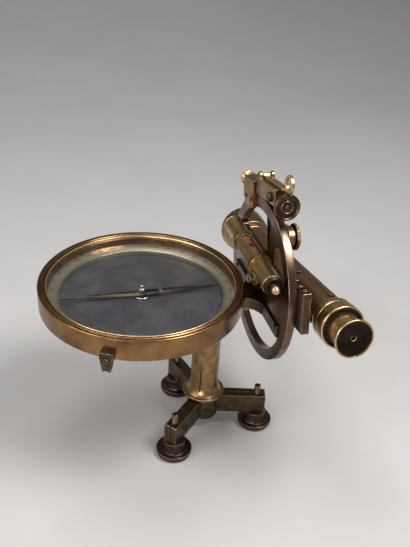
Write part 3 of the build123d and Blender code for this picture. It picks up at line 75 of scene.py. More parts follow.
def linear(hex_colour: str) -> tuple[float, float, float, float]:
    """Turns an sRGB hex colour to linear values.

    Args:
        hex_colour: six hex digits after a hash.

    Returns:
        Linear red, green and blue, and full opacity.
    """
    srgb = [int(hex_colour[i : i + 2], 16) / 255 for i in (1, 3, 5)]
    values = [c / 12.92 if c <= 0.04045 else ((c + 0.055) / 1.055) ** 2.4 for c in srgb]
    return values[0], values[1], values[2], 1.0


def add_node(tree: Tree, kind: str, setup: Keyed = None, values: Keyed = None, links: Keyed = None) -> Node:
    """Adds one shader node.

    Args:
        tree: the tree that gets the node.
        kind: the node's type name.
        setup: properties of the node.
        values: input name or number to constant.
        links: input name or number to the socket that feeds it.

    Returns:
        The new node.
    """
    node = tree.nodes.new(kind)
    for name, value in (setup or {}).items():
        setattr(node, name, value)
    for key, value in (values or {}).items():
        node.inputs[key].default_value = value
    for key, socket in (links or {}).items():
        tree.links.new(socket, node.inputs[key])
    return node


def noise(tree: Tree, place: Socket, size_mm: float, detail: float, rough: float = 0.5) -> Socket:
    """Adds soft noise round a half, whose scale is one over the size of a patch."""
    values = {"Scale": 1 / (size_mm * MM), "Detail": detail, "Roughness": rough}
    return add_node(tree, "ShaderNodeTexNoise", values=values, links={"Vector": place}).outputs["Fac"]


def spread(tree: Tree, value: Socket, band: Point, low: float = 0.0, high: float = 1.0) -> Socket:
    """Stretches a band of values to the range from low to high, and holds what lies outside it."""
    values = {"From Min": band[0], "From Max": band[1], "To Min": low, "To Max": high}
    return add_node(tree, "ShaderNodeMapRange", values=values, links={"Value": value}).outputs["Result"]


def blend(tree: Tree, share: Socket, first: str | Socket, second: str) -> Socket:
    """Mixes two colours: one minus share of the first and share of the second.

    Args:
        tree: the tree that gets the node.
        share: socket with the share of the second.
        first: hex colour, or a socket with a colour.
        second: hex colour.

    Returns:
        Socket with the mixed colour.
    """
    values, links = {7: linear(second)}, {0: share}
    if isinstance(first, str):
        values[6] = linear(first)
    else:
        links[6] = first
    return add_node(tree, "ShaderNodeMix", {"data_type": "RGBA"}, values, links).outputs[2]


@dataclass(frozen=True)
class Finish:
    """A finish with its name. Each kind of finish adds the nodes of its surface."""

    name: str

    def build(self) -> bpy.types.Material:
        """Makes the material from the finish.

        Returns:
            The material, reused when it was made before.
        """
        if self.name in bpy.data.materials:
            return bpy.data.materials[self.name]
        material = bpy.data.materials.new(self.name)
        material.use_nodes = True
        tree = material.node_tree
        tree.nodes.clear()
        surface = self.surface(tree, add_node(tree, "ShaderNodeTexCoord").outputs["Object"])
        add_node(tree, "ShaderNodeOutputMaterial", links={"Surface": surface.outputs[0]})
        return material

    def surface(self, tree: Tree, place: Socket) -> Node:
        """Adds the surface's nodes, fed by the place on the object, and returns its shader node."""
        raise NotImplementedError


@dataclass(frozen=True)
class MetalFinish(Finish):
    """Worn lacquered or bronzed metal: base colour, patina in patches and rubbed edges.

    The patina is a soft noise of patch_mm, and the rubbed edges show where a shading bevel
    of edge_mm turns the normal: the smaller the dot product of both normals, the more. On the
    circle the near-white edge colour is a painted highlight as well as wear.
    """

    base: str
    patina: str
    # edge colour: rubbed wear, and for the circle brass a painted highlight
    worn: str
    roughness: float
    patch_mm: float
    patina_share: float
    metallic: float = 1.0
    edge_mm: float = 0.5
    edge_gain: float = 0.8
    grain_mm: float = 0.35
    bump_mm: float = 0.02
    patina_band: Point = (0.36, 0.68)
    rough_band: Point = (0.3, 0.7)
    rough_share: Point = (0.8, 1.35)
    edge_band: Point = (0.995, 0.90)

    def surface(self, tree: Tree, place: Socket) -> Node:
        """Adds the nodes of the metal."""
        patches = noise(tree, place, self.patch_mm, 5.0, 0.62)
        grain = noise(tree, place, self.grain_mm, 2.0, 0.6)
        patina = spread(tree, patches, self.patina_band, 0.0, self.patina_share)
        tint = blend(tree, patina, self.base, self.patina)
        bevel = add_node(tree, "ShaderNodeBevel", {"samples": 4}, {"Radius": self.edge_mm * MM}).outputs[0]
        flat = add_node(tree, "ShaderNodeNewGeometry").outputs["Normal"]
        dot = {"operation": "DOT_PRODUCT"}
        turn = add_node(tree, "ShaderNodeVectorMath", dot, None, {0: bevel, 1: flat}).outputs["Value"]
        # edge mask: rubbed wear, and on the circle's edges a painted highlight
        edge = spread(tree, turn, self.edge_band, 0.0, self.edge_gain)
        smooth, dull = (self.roughness * share for share in self.rough_share)
        push = {"Strength": 0.35, "Distance": self.bump_mm * MM}
        bump = add_node(tree, "ShaderNodeBump", None, push, {"Height": grain, "Normal": bevel})
        links = {
            "Base Color": blend(tree, edge, tint, self.worn),
            "Roughness": spread(tree, patches, self.rough_band, smooth, min(1.0, dull)),
            "Normal": bump.outputs[0],
        }
        return add_node(tree, "ShaderNodeBsdfPrincipled", None, {"Metallic": self.metallic}, links)


@dataclass(frozen=True)
class PaintFinish(Finish):
    """Matt lacquer, wax or felt: a colour with a soft mottle and a fine grain."""

    base: str
    mottle: str
    roughness: float
    patch_mm: float = 14.0
    grain_mm: float = 0.4
    coat: float = 0.0
    bump_mm: float = 0.02
    mottle_band: Point = (0.35, 0.7)

    def surface(self, tree: Tree, place: Socket) -> Node:
        """Adds the nodes of the lacquer."""
        mottle = spread(tree, noise(tree, place, self.patch_mm, 6.0, 0.65), self.mottle_band)
        grain = noise(tree, place, self.grain_mm, 2.0)
        push = {"Strength": 0.3, "Distance": self.bump_mm * MM}
        bump = add_node(tree, "ShaderNodeBump", None, push, {"Height": grain})
        values = {"Roughness": self.roughness, "Coat Weight": self.coat}
        links = {"Base Color": blend(tree, mottle, self.base, self.mottle), "Normal": bump.outputs[0]}
        return add_node(tree, "ShaderNodeBsdfPrincipled", None, values, links)


@dataclass(frozen=True)
class GlassFinish(Finish):
    """Clear polished glass: a thin reflecting sheet over what lies behind it.

    The mirror's share is the Fresnel value of the glass times one minus backfacing, so that
    light which leaves the glass isn't held in. A veil of dust lies over both.
    """

    tint: str
    ior: float
    smear: float
    smear_mm: float = 22.0
    smear_band: Point = (0.45, 0.8)
    polish: float = 0.03

    def surface(self, tree: Tree, place: Socket) -> Node:
        """Adds the nodes of the glass."""
        veil = spread(tree, noise(tree, place, self.smear_mm, 7.0, 0.7), self.smear_band, 0.0, self.smear)
        tint = {"Color": linear(self.tint)}
        clear = add_node(tree, "ShaderNodeBsdfTransparent", values=tint).outputs[0]
        film = add_node(tree, "ShaderNodeBsdfDiffuse", values=tint).outputs[0]
        mirror = {"Roughness": self.polish, "Color": (1, 1, 1, 1)}
        shine = add_node(tree, "ShaderNodeBsdfGlossy", values=mirror).outputs[0]
        fresnel = add_node(tree, "ShaderNodeFresnel", values={"IOR": self.ior}).outputs[0]
        back = add_node(tree, "ShaderNodeNewGeometry").outputs["Backfacing"]
        front = add_node(tree, "ShaderNodeMath", {"operation": "SUBTRACT"}, {0: 1.0}, {1: back}).outputs[0]
        share = add_node(tree, "ShaderNodeMath", {"operation": "MULTIPLY"}, links={0: fresnel, 1: front})
        sheet = add_node(tree, "ShaderNodeMixShader", links={0: share.outputs[0], 1: clear, 2: shine})
        return add_node(tree, "ShaderNodeMixShader", links={0: veil, 1: sheet.outputs[0], 2: film})


# Finishes of the real object, each with what it gives the eye

# brown gold with long dark stains under a soft sheen
DRUM_BRASS = MetalFinish("lacquered_turned_brass", "#98744a", "#553c2d", "#e2c08a", 0.25, 34.0, 0.9)
# pale green-gold that sets the level off
LEVEL_BRASS = MetalFinish("olive_lacquered_brass", "#c4aa74", "#8a7650", "#ecd8a4", 0.3, 12.0, 0.6)
# dull handled brown with gold left on the edges
AGED_BRASS = MetalFinish("aged_rubbed_brass", "#a98860", "#54402f", "#e0c08c", 0.34, 12.0, 0.75)
# nearly black, with edges rubbed to pale metal
TRIVET_BRONZE = MetalFinish("bronzed_cast_brass", "#65543f", "#2a231d", "#d4ba8e", 0.36, 8.0, 0.75)
# dark red-brown with rings of light on the discs
FOOT_BRONZE = MetalFinish("bronzed_turned_brass", "#5e4b40", "#2c2320", "#b89a70", 0.34, 7.0, 0.75)
# chocolate face; its near-white edge colour is a painted highlight on the rim, also on the vernier blocks'
# edges
CIRCLE_BRASS = MetalFinish("browned_circle_brass", "#7a6252", "#43332b", "#f0dcc4", 0.25, 16.0, 0.7)
# even honey brown with one long highlight
TUBE_BRASS = MetalFinish("lacquered_tube_brass", "#ab8a62", "#6a523a", "#dcbc84", 0.3, 18.0, 0.7)
# yellow metal, the lightest spots of the object
BRIGHT_BRASS = MetalFinish("polished_turned_brass", "#d6b686", "#9a7c52", "#f4e2b8", 0.28, 8.0, 0.5)
# almost black ends of the tubes
DARK_BRASS = MetalFinish("blackened_brass", "#352a22", "#1b1613", "#a98a5c", 0.4, 7.0, 0.8)
# matt pale gold behind readable degree lines
SILVERED = MetalFinish("silvered_brass", "#a08c66", "#7c6a4e", "#cdbd94", 0.46, 20.0, 0.6, 0.75)
# cold blue-grey among the warm brass
BLUED_STEEL = MetalFinish("blued_steel", "#333842", "#1d1f25", "#7b8290", 0.28, 5.0, 0.7)
# grey-pink where the silver has worn thin
TARNISHED = MetalFinish("tarnished_silver_plate", "#75645a", "#43362f", "#b8a894", 0.36, 3.0, 0.8)
# dark dots with a bright edge round each head
SCREW_STEEL = MetalFinish("browned_screw_steel", "#4f463f", "#26201d", "#a08c70", 0.3, 3.0, 0.7)
# neutral grey of the bearing steel
GREY_STEEL = MetalFinish("worn_grey_steel", "#77777a", "#49484a", "#b9b9bc", 0.3, 5.0, 0.7)
# white glint in the middle of the dark dial
NICKEL = MetalFinish("worn_nickel", "#b9b2a8", "#8a8075", "#efe9df", 0.22, 4.0, 0.6)
# brown disc whose milled rim sparkles
KNOB_BRASS = MetalFinish("browned_knob_brass", "#5d4b3c", "#2f2620", "#d8b47e", 0.26, 6.0, 0.7)
# dull grey, just lighter than the dial
NEEDLE_GREY = MetalFinish("dulled_needle_steel", "#5a5a52", "#32322f", "#8c8c80", 0.34, 5.0, 0.7)
# dark blue that marks the north end
NEEDLE_BLUE = MetalFinish("dark_blued_needle_steel", "#24262e", "#16171b", "#565c68", 0.34, 5.0, 0.7)
# red-brown depth under a wet highlight
SPIRIT = MetalFinish("vial_spirit", "#8a5c46", "#553427", "#d8b49c", 0.1, 6.0, 0.7, 0.0)
# the bubble's dark outline under one sharp glint
BUBBLE = MetalFinish("vial_bubble", "#33201b", "#2a1a16", "#8a6252", 0.06, 5.0, 0.3, 0.0)
# blue-black field with a faint shine
DIAL_BLACK = PaintFinish("matt_black_dial_lacquer", "#2b2e3a", "#363945", 0.5, 40.0, 0.5, 0.15)
# black lines and numbers
DIAL_INK = PaintFinish("black_engraver_wax", "#201e1b", "#2b2825", 0.6)
# soot black of the glare stop and reticle, and painted shade in the collar's shadowed recess
SOOT_BLACK_AND_PAINTED_SHADE = PaintFinish("soot_black_and_painted_shade", "#16120f", "#211a15", 0.7, 6.0)
# plain pale ground, a shade darker where the pile turns
FLOOR = PaintFinish("pale_felt_floor", "#b6b4b3", "#b0aead", 0.85, 220.0, 2.5)
# clear pane with a light reflection
COVER_GLASS = GlassFinish("flat_cover_glass", "#fbf9f4", 1.5, 0.02)
# faintly blue lens with a stronger reflection
LENS_GLASS = GlassFinish("polished_lens_glass", "#dfe4ea", 1.6, 0.03)


# Surfaces


def unit(vector: Point) -> np.ndarray:
    """Returns a vector divided by its length."""
    array = np.asarray(vector, float)
    return array / np.linalg.norm(array)


def bend(corner: np.ndarray, cut: np.ndarray, steps: int) -> np.ndarray:
    """Replaces each corner of a loop by a quadratic Bezier arc.

    The arc starts cut before the corner, ends cut after it, and has the corner itself as its
    control point.

    Args:
        corner: corners of the loop.
        cut: length cut from both sides of each corner.
        steps: points of each arc.

    Returns:
        The points of all arcs, in order.
    """
    arms = [np.roll(corner, shift, 0) - corner for shift in (1, -1)]
    start, end = (corner + arm / np.linalg.norm(arm, axis=1)[:, None] * cut[:, None] for arm in arms)
    t = np.linspace(0, 1, steps)[None, :, None]
    arcs = (1 - t) ** 2 * start[:, None] + 2 * t * (1 - t) * corner[:, None] + t**2 * end[:, None]
    return arcs.reshape(-1, 2)


def rounded(points: Sequence[Point], radius: float, closed: bool = False) -> np.ndarray:
    """Rounds the corners of a profile.

    Points on the axis and the ends of an open profile stay as they are.

    Args:
        points: profile corners, radius first and place along the axis second.
        radius: length cut from both sides of a corner, within SIDE_SHARE of the shorter side.
        closed: whether the last corner joins the first.

    Returns:
        The rounded profile as an array of pairs.
    """
    corner = np.asarray(points, float)
    side = np.linalg.norm(np.roll(corner, -1, 0) - corner, axis=1)
    cut = np.minimum(radius, SIDE_SHARE * np.minimum(np.roll(side, 1), side))
    cut[corner[:, 0] < SAME] = 0.0
    if not closed:
        cut[[0, -1]] = 0.0
    line = bend(corner, cut, CORNER_STEPS)
    keep = np.r_[True, np.linalg.norm(np.diff(line, axis=0), axis=1) > SAME]
    return line[keep]


def curve_through(points: Sequence[Point], steps: int) -> np.ndarray:
    """Runs a smooth curve through profile points.

    Each stretch is a Catmull-Rom cubic: it passes the two points and takes its slopes from
    their neighbours.

    Args:
        points: points that the curve passes.
        steps: samples of each stretch.

    Returns:
        The curve as an array of pairs.
    """
    p = np.asarray(points, float)
    ext = np.vstack([2 * p[0] - p[1], p, 2 * p[-1] - p[-2]])
    a, b, c, d = (ext[i : i + len(p) - 1, None] for i in range(4))
    t = np.linspace(0, 1, steps, endpoint=False)[None, :, None]
    square, cube = (2 * a - 5 * b + 4 * c - d) * t**2, (3 * b - a - 3 * c + d) * t**3
    run = 0.5 * (2 * b + (c - a) * t + square + cube)
    return np.vstack([run.reshape(-1, 2), p[-1]])


def grid_faces(rows: int, columns: int, close_rows: bool, close_columns: bool) -> np.ndarray:
    """Quads of a grid whose vertices are numbered row by row.

    Args:
        rows: number of rows.
        columns: number of columns.
        close_rows: join the last row to the first.
        close_columns: join the last column to the first.

    Returns:
        Vertex numbers, four to a face.
    """
    i = np.arange(rows if close_rows else rows - 1)[:, None]
    j = np.arange(columns if close_columns else columns - 1)[None, :]
    i2, j2 = (i + 1) % rows, (j + 1) % columns
    quads = [i * columns + j, i * columns + j2, i2 * columns + j2, i2 * columns + j]
    return np.stack(quads, axis=-1).reshape(-1, 4)


def capped_faces(rows: int, columns: int) -> list[list[int]]:
    """Returns the faces of a skin of rings with a flat face at both ends."""
    faces = [list(face) for face in grid_faces(rows, columns, False, True)]
    return faces + [list(range(columns))[::-1], list(range((rows - 1) * columns, rows * columns))]


def finish_mesh(
    name: str, vertices: np.ndarray, faces: Iterable[Sequence[int]], smooth_deg: float = SMOOTH_DEG
) -> Piece:
    """Makes an object of a mesh: doubles merged, faces outward, edges sharp past smooth_deg.

    Args:
        name: name of the piece.
        vertices: points in millimetres, in the last dimension.
        faces: vertex numbers of the faces.
        smooth_deg: largest angle in degrees that is still shaded smooth.

    Returns:
        The object, at the origin, with its place in its mesh.
    """
    mesh = bpy.data.meshes.new(name)
    points = np.asarray(vertices, float).reshape(-1, 3) * MM
    mesh.from_pydata(points.tolist(), [], [list(face) for face in faces])
    work = bmesh.new()
    work.from_mesh(mesh)
    bmesh.ops.remove_doubles(work, verts=work.verts, dist=2e-6)
    bmesh.ops.dissolve_degenerate(work, edges=work.edges, dist=1e-6)
    bmesh.ops.recalc_face_normals(work, faces=work.faces)
    work.to_mesh(mesh)
    work.free()
    mesh.shade_smooth()
    mesh.set_sharp_from_angle(angle=math.radians(smooth_deg))
    piece = bpy.data.objects.new(name, mesh)
    bpy.context.scene.collection.objects.link(piece)
    return piece


@dataclass(frozen=True)
class Spindle:
    """Axis of a turned piece: where it starts, its direction and the direction of angle zero."""

    origin: Point
    along: Point
    zero: Point

    def place(self, radius: np.ndarray, angle: np.ndarray, reach: np.ndarray) -> np.ndarray:
        """Points at a radius and an angle about the axis, and a place along it.

        Each is the origin plus radius times cosine along zero, plus radius times sine to its
        side, plus reach along the axis.

        Args:
            radius: distance from the axis.
            angle: turn from the zero direction, in radians.
            reach: place along the axis.

        Returns:
            Points in millimetres, in the last dimension.
        """
        along = unit(self.along)
        zero = unit(np.asarray(self.zero, float) - np.dot(self.zero, along) * along)
        side = np.cross(along, zero)
        radius, angle, reach = (a[..., None] for a in np.broadcast_arrays(radius, angle, reach))
        flat = radius * np.cos(angle) * zero
        return np.asarray(self.origin, float) + flat + radius * np.sin(angle) * side + reach * along


@dataclass(frozen=True)
class Milling:
    """Milled teeth, cut between low and high along the axis where the rim is wider than floor."""

    count: int
    depth: float
    low: float
    high: float
    floor: float


def turned(
    name: str, spindle: Spindle, profile: Sequence[Point], corner: float = 0.25, segments: int = 128,
    milling: Milling | None = None, raw: bool = False,
) -> Piece:
    """Turns a profile about an axis: point (angle, s) lies at radius r(s) and place y(s).

    A profile that starts off the axis is a loop, as of a ring, and its end joins its start.
    Milled teeth lower the radius by depth times half of one minus the cosine of count times
    the angle.

    Args:
        name: name of the piece.
        spindle: axis of the piece.
        profile: corners of the half section, radius first.
        corner: rounding of the corners.
        segments: steps round the axis.
        milling: teeth of a milled rim, if it has them.
        raw: profile is used as it is, with no rounding.

    Returns:
        The turned piece.
    """
    closed = profile[0][0] > SAME
    line = np.asarray(profile, float) if raw else rounded(profile, corner, closed)
    angle = np.linspace(0, 2 * np.pi, segments, endpoint=False)[None, :]
    radius = np.repeat(line[:, :1], segments, 1)
    if milling is not None:
        reach = line[:, 1]
        band = (reach >= milling.low) & (reach <= milling.high) & (line[:, 0] > milling.floor)
        radius = radius - band[:, None] * milling.depth * 0.5 * (1 - np.cos(milling.count * angle))
    points = spindle.place(radius, angle, line[:, 1:2])
    return finish_mesh(name, points, grid_faces(len(line), segments, closed, True))


def degree_lines(
    name: str, spindle: Spindle, start: float, way: Way, height: Callable[[np.ndarray], np.ndarray]
) -> Piece:
    """Draws 720 half-degree lines that start on one circle.

    Lines are 3.4 mm long at each ten degrees, 2.6 at each five, 1.9 at each degree and 1.2
    between, and each is a narrow quad of constant width. The turn of a corner is its half
    width over its radius.

    Args:
        name: name of the piece.
        spindle: axis of the circle.
        start: radius where every line starts.
        way: PLUS for lines that run outwards, MINUS for inwards.
        height: place along the axis for a radius.

    Returns:
        The lines as one piece.
    """
    degree = np.arange(720) / 2.0
    length = np.select([degree % 10 == 0, degree % 5 == 0, degree % 1 == 0], [3.4, 2.6, 1.9], 1.2)
    half = np.where(degree % 5 == 0, 0.13, 0.08)
    near = np.full(720, start)
    far = start + way.value * length
    radius = np.stack([near, near, far, far], 1)
    turn = np.radians(degree)[:, None] + np.stack([-half, half, half, -half], 1) / radius
    points = spindle.place(radius, turn, height(radius))
    return finish_mesh(name, points, np.arange(radius.size).reshape(-1, 4))


def cut_hole(
    piece: Piece, outline: Sequence[Point], origin: Point, x_dir: Point, y_dir: Point, depth: float
) -> None:
    """Cuts a straight hole in a piece for good.

    Args:
        piece: the piece to cut.
        outline: corners of the hole, counter-clockwise in the local plane.
        origin: zero of the local plane, outside the material.
        x_dir: first direction of the plane.
        y_dir: second direction of the plane.
        depth: length of the cut along the plane's normal.
    """
    flat = np.asarray(outline, float)
    u, v = unit(x_dir), unit(y_dir)
    base = np.asarray(origin, float) + flat[:, :1] * u + flat[:, 1:] * v
    points = np.stack([base, base + depth * np.cross(u, v)])
    cutter = finish_mesh("cutter", points, capped_faces(2, len(flat)))
    modifier = piece.modifiers.new("cut", "BOOLEAN")
    modifier.operation = "DIFFERENCE"
    modifier.solver = "EXACT"
    modifier.object = cutter
    graph = bpy.context.evaluated_depsgraph_get()
    graph.update()
    mesh = bpy.data.meshes.new_from_object(piece.evaluated_get(graph))
    piece.modifiers.clear()
    piece.data = mesh
    mesh.shade_smooth()
    mesh.set_sharp_from_angle(angle=math.radians(SMOOTH_DEG))
    bpy.data.objects.remove(cutter, do_unlink=True)


def dress(finish: Finish, *nodes: str) -> None:
    """Gives CAD nodes that keep their own shapes a finish.

    Args:
        finish: the finish to build and assign.
        nodes: names of the nodes.
    """
    material = finish.build()
    for node in nodes:
        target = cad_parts[node]
        if target.material_slots:
            for slot in target.material_slots:
                slot.material = material
        else:
            target.data.materials.append(material)
        LOG.info("dressed %s with %s", node, finish.name)


def settle(piece: Piece, body: str, finish: Finish, slot: str, *replaced: str) -> None:
    """Finishes a new piece: material, body and the CAD nodes that it stands for.

    Args:
        piece: the new object.
        body: the body that it rides on.
        finish: its finish.
        slot: the record's material slot; not used.
        replaced: nodes that it stands for.
    """
    piece.data.materials.clear()
    piece.data.materials.append(finish.build())
    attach(piece, body)
    if replaced:
        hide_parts(*replaced)
    LOG.info("piece %s rides on %s", piece.name, body)


# Common places and directions

COLUMN_BASE = 25.8
COLUMN_TOP = 132.1
BOX_BASE = 142.1
AXIS_Z = 153.6  # height of the trunnion
TILT = math.radians(9.5)  # slope of the telescope, objective end down
ACROSS = np.array([1.0, 0.0, 0.0])
AHEAD = np.array([0.0, 1.0, 0.0])
UP = np.array([0.0, 0.0, 1.0])
SIGHT = np.array([0.0, math.cos(TILT), -math.sin(TILT)])
RISE = np.array([0.0, math.sin(TILT), math.cos(TILT)])


def limb(x: float, along: float, up: float) -> np.ndarray:
    """Returns a point of the tilting part: trunnion, plus along the sight line, plus up from it."""
    return np.array([x, 0.0, AXIS_Z]) + SIGHT * along + RISE * up


@dataclass
class Trivet:
    """Three-armed trivet with its levelling screws."""

    start_deg: float = -14.55
    circle_r: float = 53.75
    drop: float = 12.5
    disc_r: float = 17.06
    disc_h: float = 6.6
    neck_r: float = 10.5
    neck_top: float = 17.0
    shank_r: float = 3.0
    shank_top: float = 48.0
    thread_low: float = 36.5
    thread_pitch: float = 0.8
    thread_depth: float = 0.35

    def foot_profile(self) -> np.ndarray:
        """Half section of a levelling screw: disc, bead, concave taper, neck and threaded shank.

        Returns:
            Pairs of radius and height, from the underside to the tip.
        """
        r, h, top = self.disc_r, self.disc_h, self.shank_top
        neck, neck_top, shank = self.neck_r, self.neck_top, self.shank_r
        base = [(0, 0.3), (r - 6, 0.3), (r - 5.4, 0), (r - 2.2, 0), (r - 0.6, 1.4)]
        base += [(r, h - 1.8), (r, h - 0.6)]
        bead = [(r - 0.3, h - 0.2), (r - 0.9, h), (r - 1.5, h - 0.2), (r - 1.9, h - 0.7)]
        dish = curve_through([(r - 3.2, h - 0.7), (r - 5.2, h - 0.1), (neck + 0.2, 10.5), (neck, 13)], 8)
        upper = [(neck, 13), (neck, neck_top), (shank + 0.3, neck_top), (shank, neck_top + 0.4)]
        turns = np.arange(self.thread_low, top - 1.0, self.thread_pitch)
        thread_r = np.tile([shank, shank - self.thread_depth, shank], len(turns))
        thread_z = turns[:, None] + np.array([0.0, 0.4, 0.75]) * self.thread_pitch
        thread = np.stack([thread_r, thread_z.ravel()], 1)
        tip = [(shank, top - 0.9), (shank - 0.5, top - 0.2), (shank - 1.1, top), (0, top)]
        return np.vstack([rounded(base, 0.5), bead, dish, rounded(upper, 0.4), thread, tip])

    def build(self) -> None:
        """Builds the levelling screws and dresses the trivet's other nodes."""
        profile = self.foot_profile()
        for number in (1, 2, 3):
            angle = math.radians(self.start_deg + 120 * (number - 1))
            origin = (self.circle_r * math.cos(angle), self.circle_r * math.sin(angle), -self.drop)
            axis = Spindle(origin, UP, ACROSS)
            screw = turned(f"foot_screw_turned_{number}", axis, profile, raw=True, segments=96)
            settle(screw, f"foot_screw_{number}", FOOT_BRONZE, "foot_bronze", f"levelling_screw_{number}")
        dress(TRIVET_BRONZE, "trivet_body")
        dress(SCREW_STEEL, "arm_pinch_screws", "spindle_screw")
        dress(GREY_STEEL, "spindle")
        dress(AGED_BRASS, "spindle_washer")


@dataclass
class Column:
    """Flared column with its pinch slit, and the bridge on top."""

    radius: float = 13.34
    bore: float = 8.05
    wide_bore: float = 11.0
    wide_from: float = 81.9
    lip_r: float = 20.3
    slit_deg: float = -123.0
    slit_w: float = 1.1
    slit_low: float = 9.0
    slit_high: float = 34.0
    slit_from: float = 2.0
    slit_reach: float = 20.0

    def build(self) -> None:
        """Builds the turned column and dresses the bridge."""
        r, lip_r, length = self.radius, self.lip_r, COLUMN_TOP - COLUMN_BASE
        top = (lip_r - 2.4, 4.2)
        lip = [(self.bore, 0), (lip_r - 1.6, 0), (lip_r, 1.4), (lip_r, 3.3), (lip_r - 0.8, 4.0), top]
        flare = curve_through([top, (r + 2.5, 6.4), (r + 0.5, 10.5), (r, 15.0)], 10)
        wide, step = self.wide_bore, self.wide_from
        shaft = [(r, length), (wide, length), (wide, step), (self.bore, step)]
        profile = np.vstack([rounded(lip, 0.55), flare, shaft])
        axis = Spindle((0, 0, COLUMN_BASE), UP, ACROSS)
        piece = turned("column_turned", axis, profile, raw=True, segments=144)
        out = math.radians(self.slit_deg)
        radial = np.array([math.cos(out), math.sin(out), 0.0])
        half, low, high = self.slit_w / 2, self.slit_low, self.slit_high
        foot = [(-half, low + half), (-half * 0.5, low), (half * 0.5, low), (half, low + half)]
        head = [(half, high - half), (half * 0.5, high), (-half * 0.5, high), (-half, high - half)]
        start = radial * self.slit_from + UP * COLUMN_BASE
        cut_hole(piece, foot + head, start, np.cross(UP, radial), UP, self.slit_reach)
        settle(piece, "upper_part", AGED_BRASS, "aged_brass", "column")
        dress(AGED_BRASS, "bridge")
        dress(BRIGHT_BRASS, "box_screws")


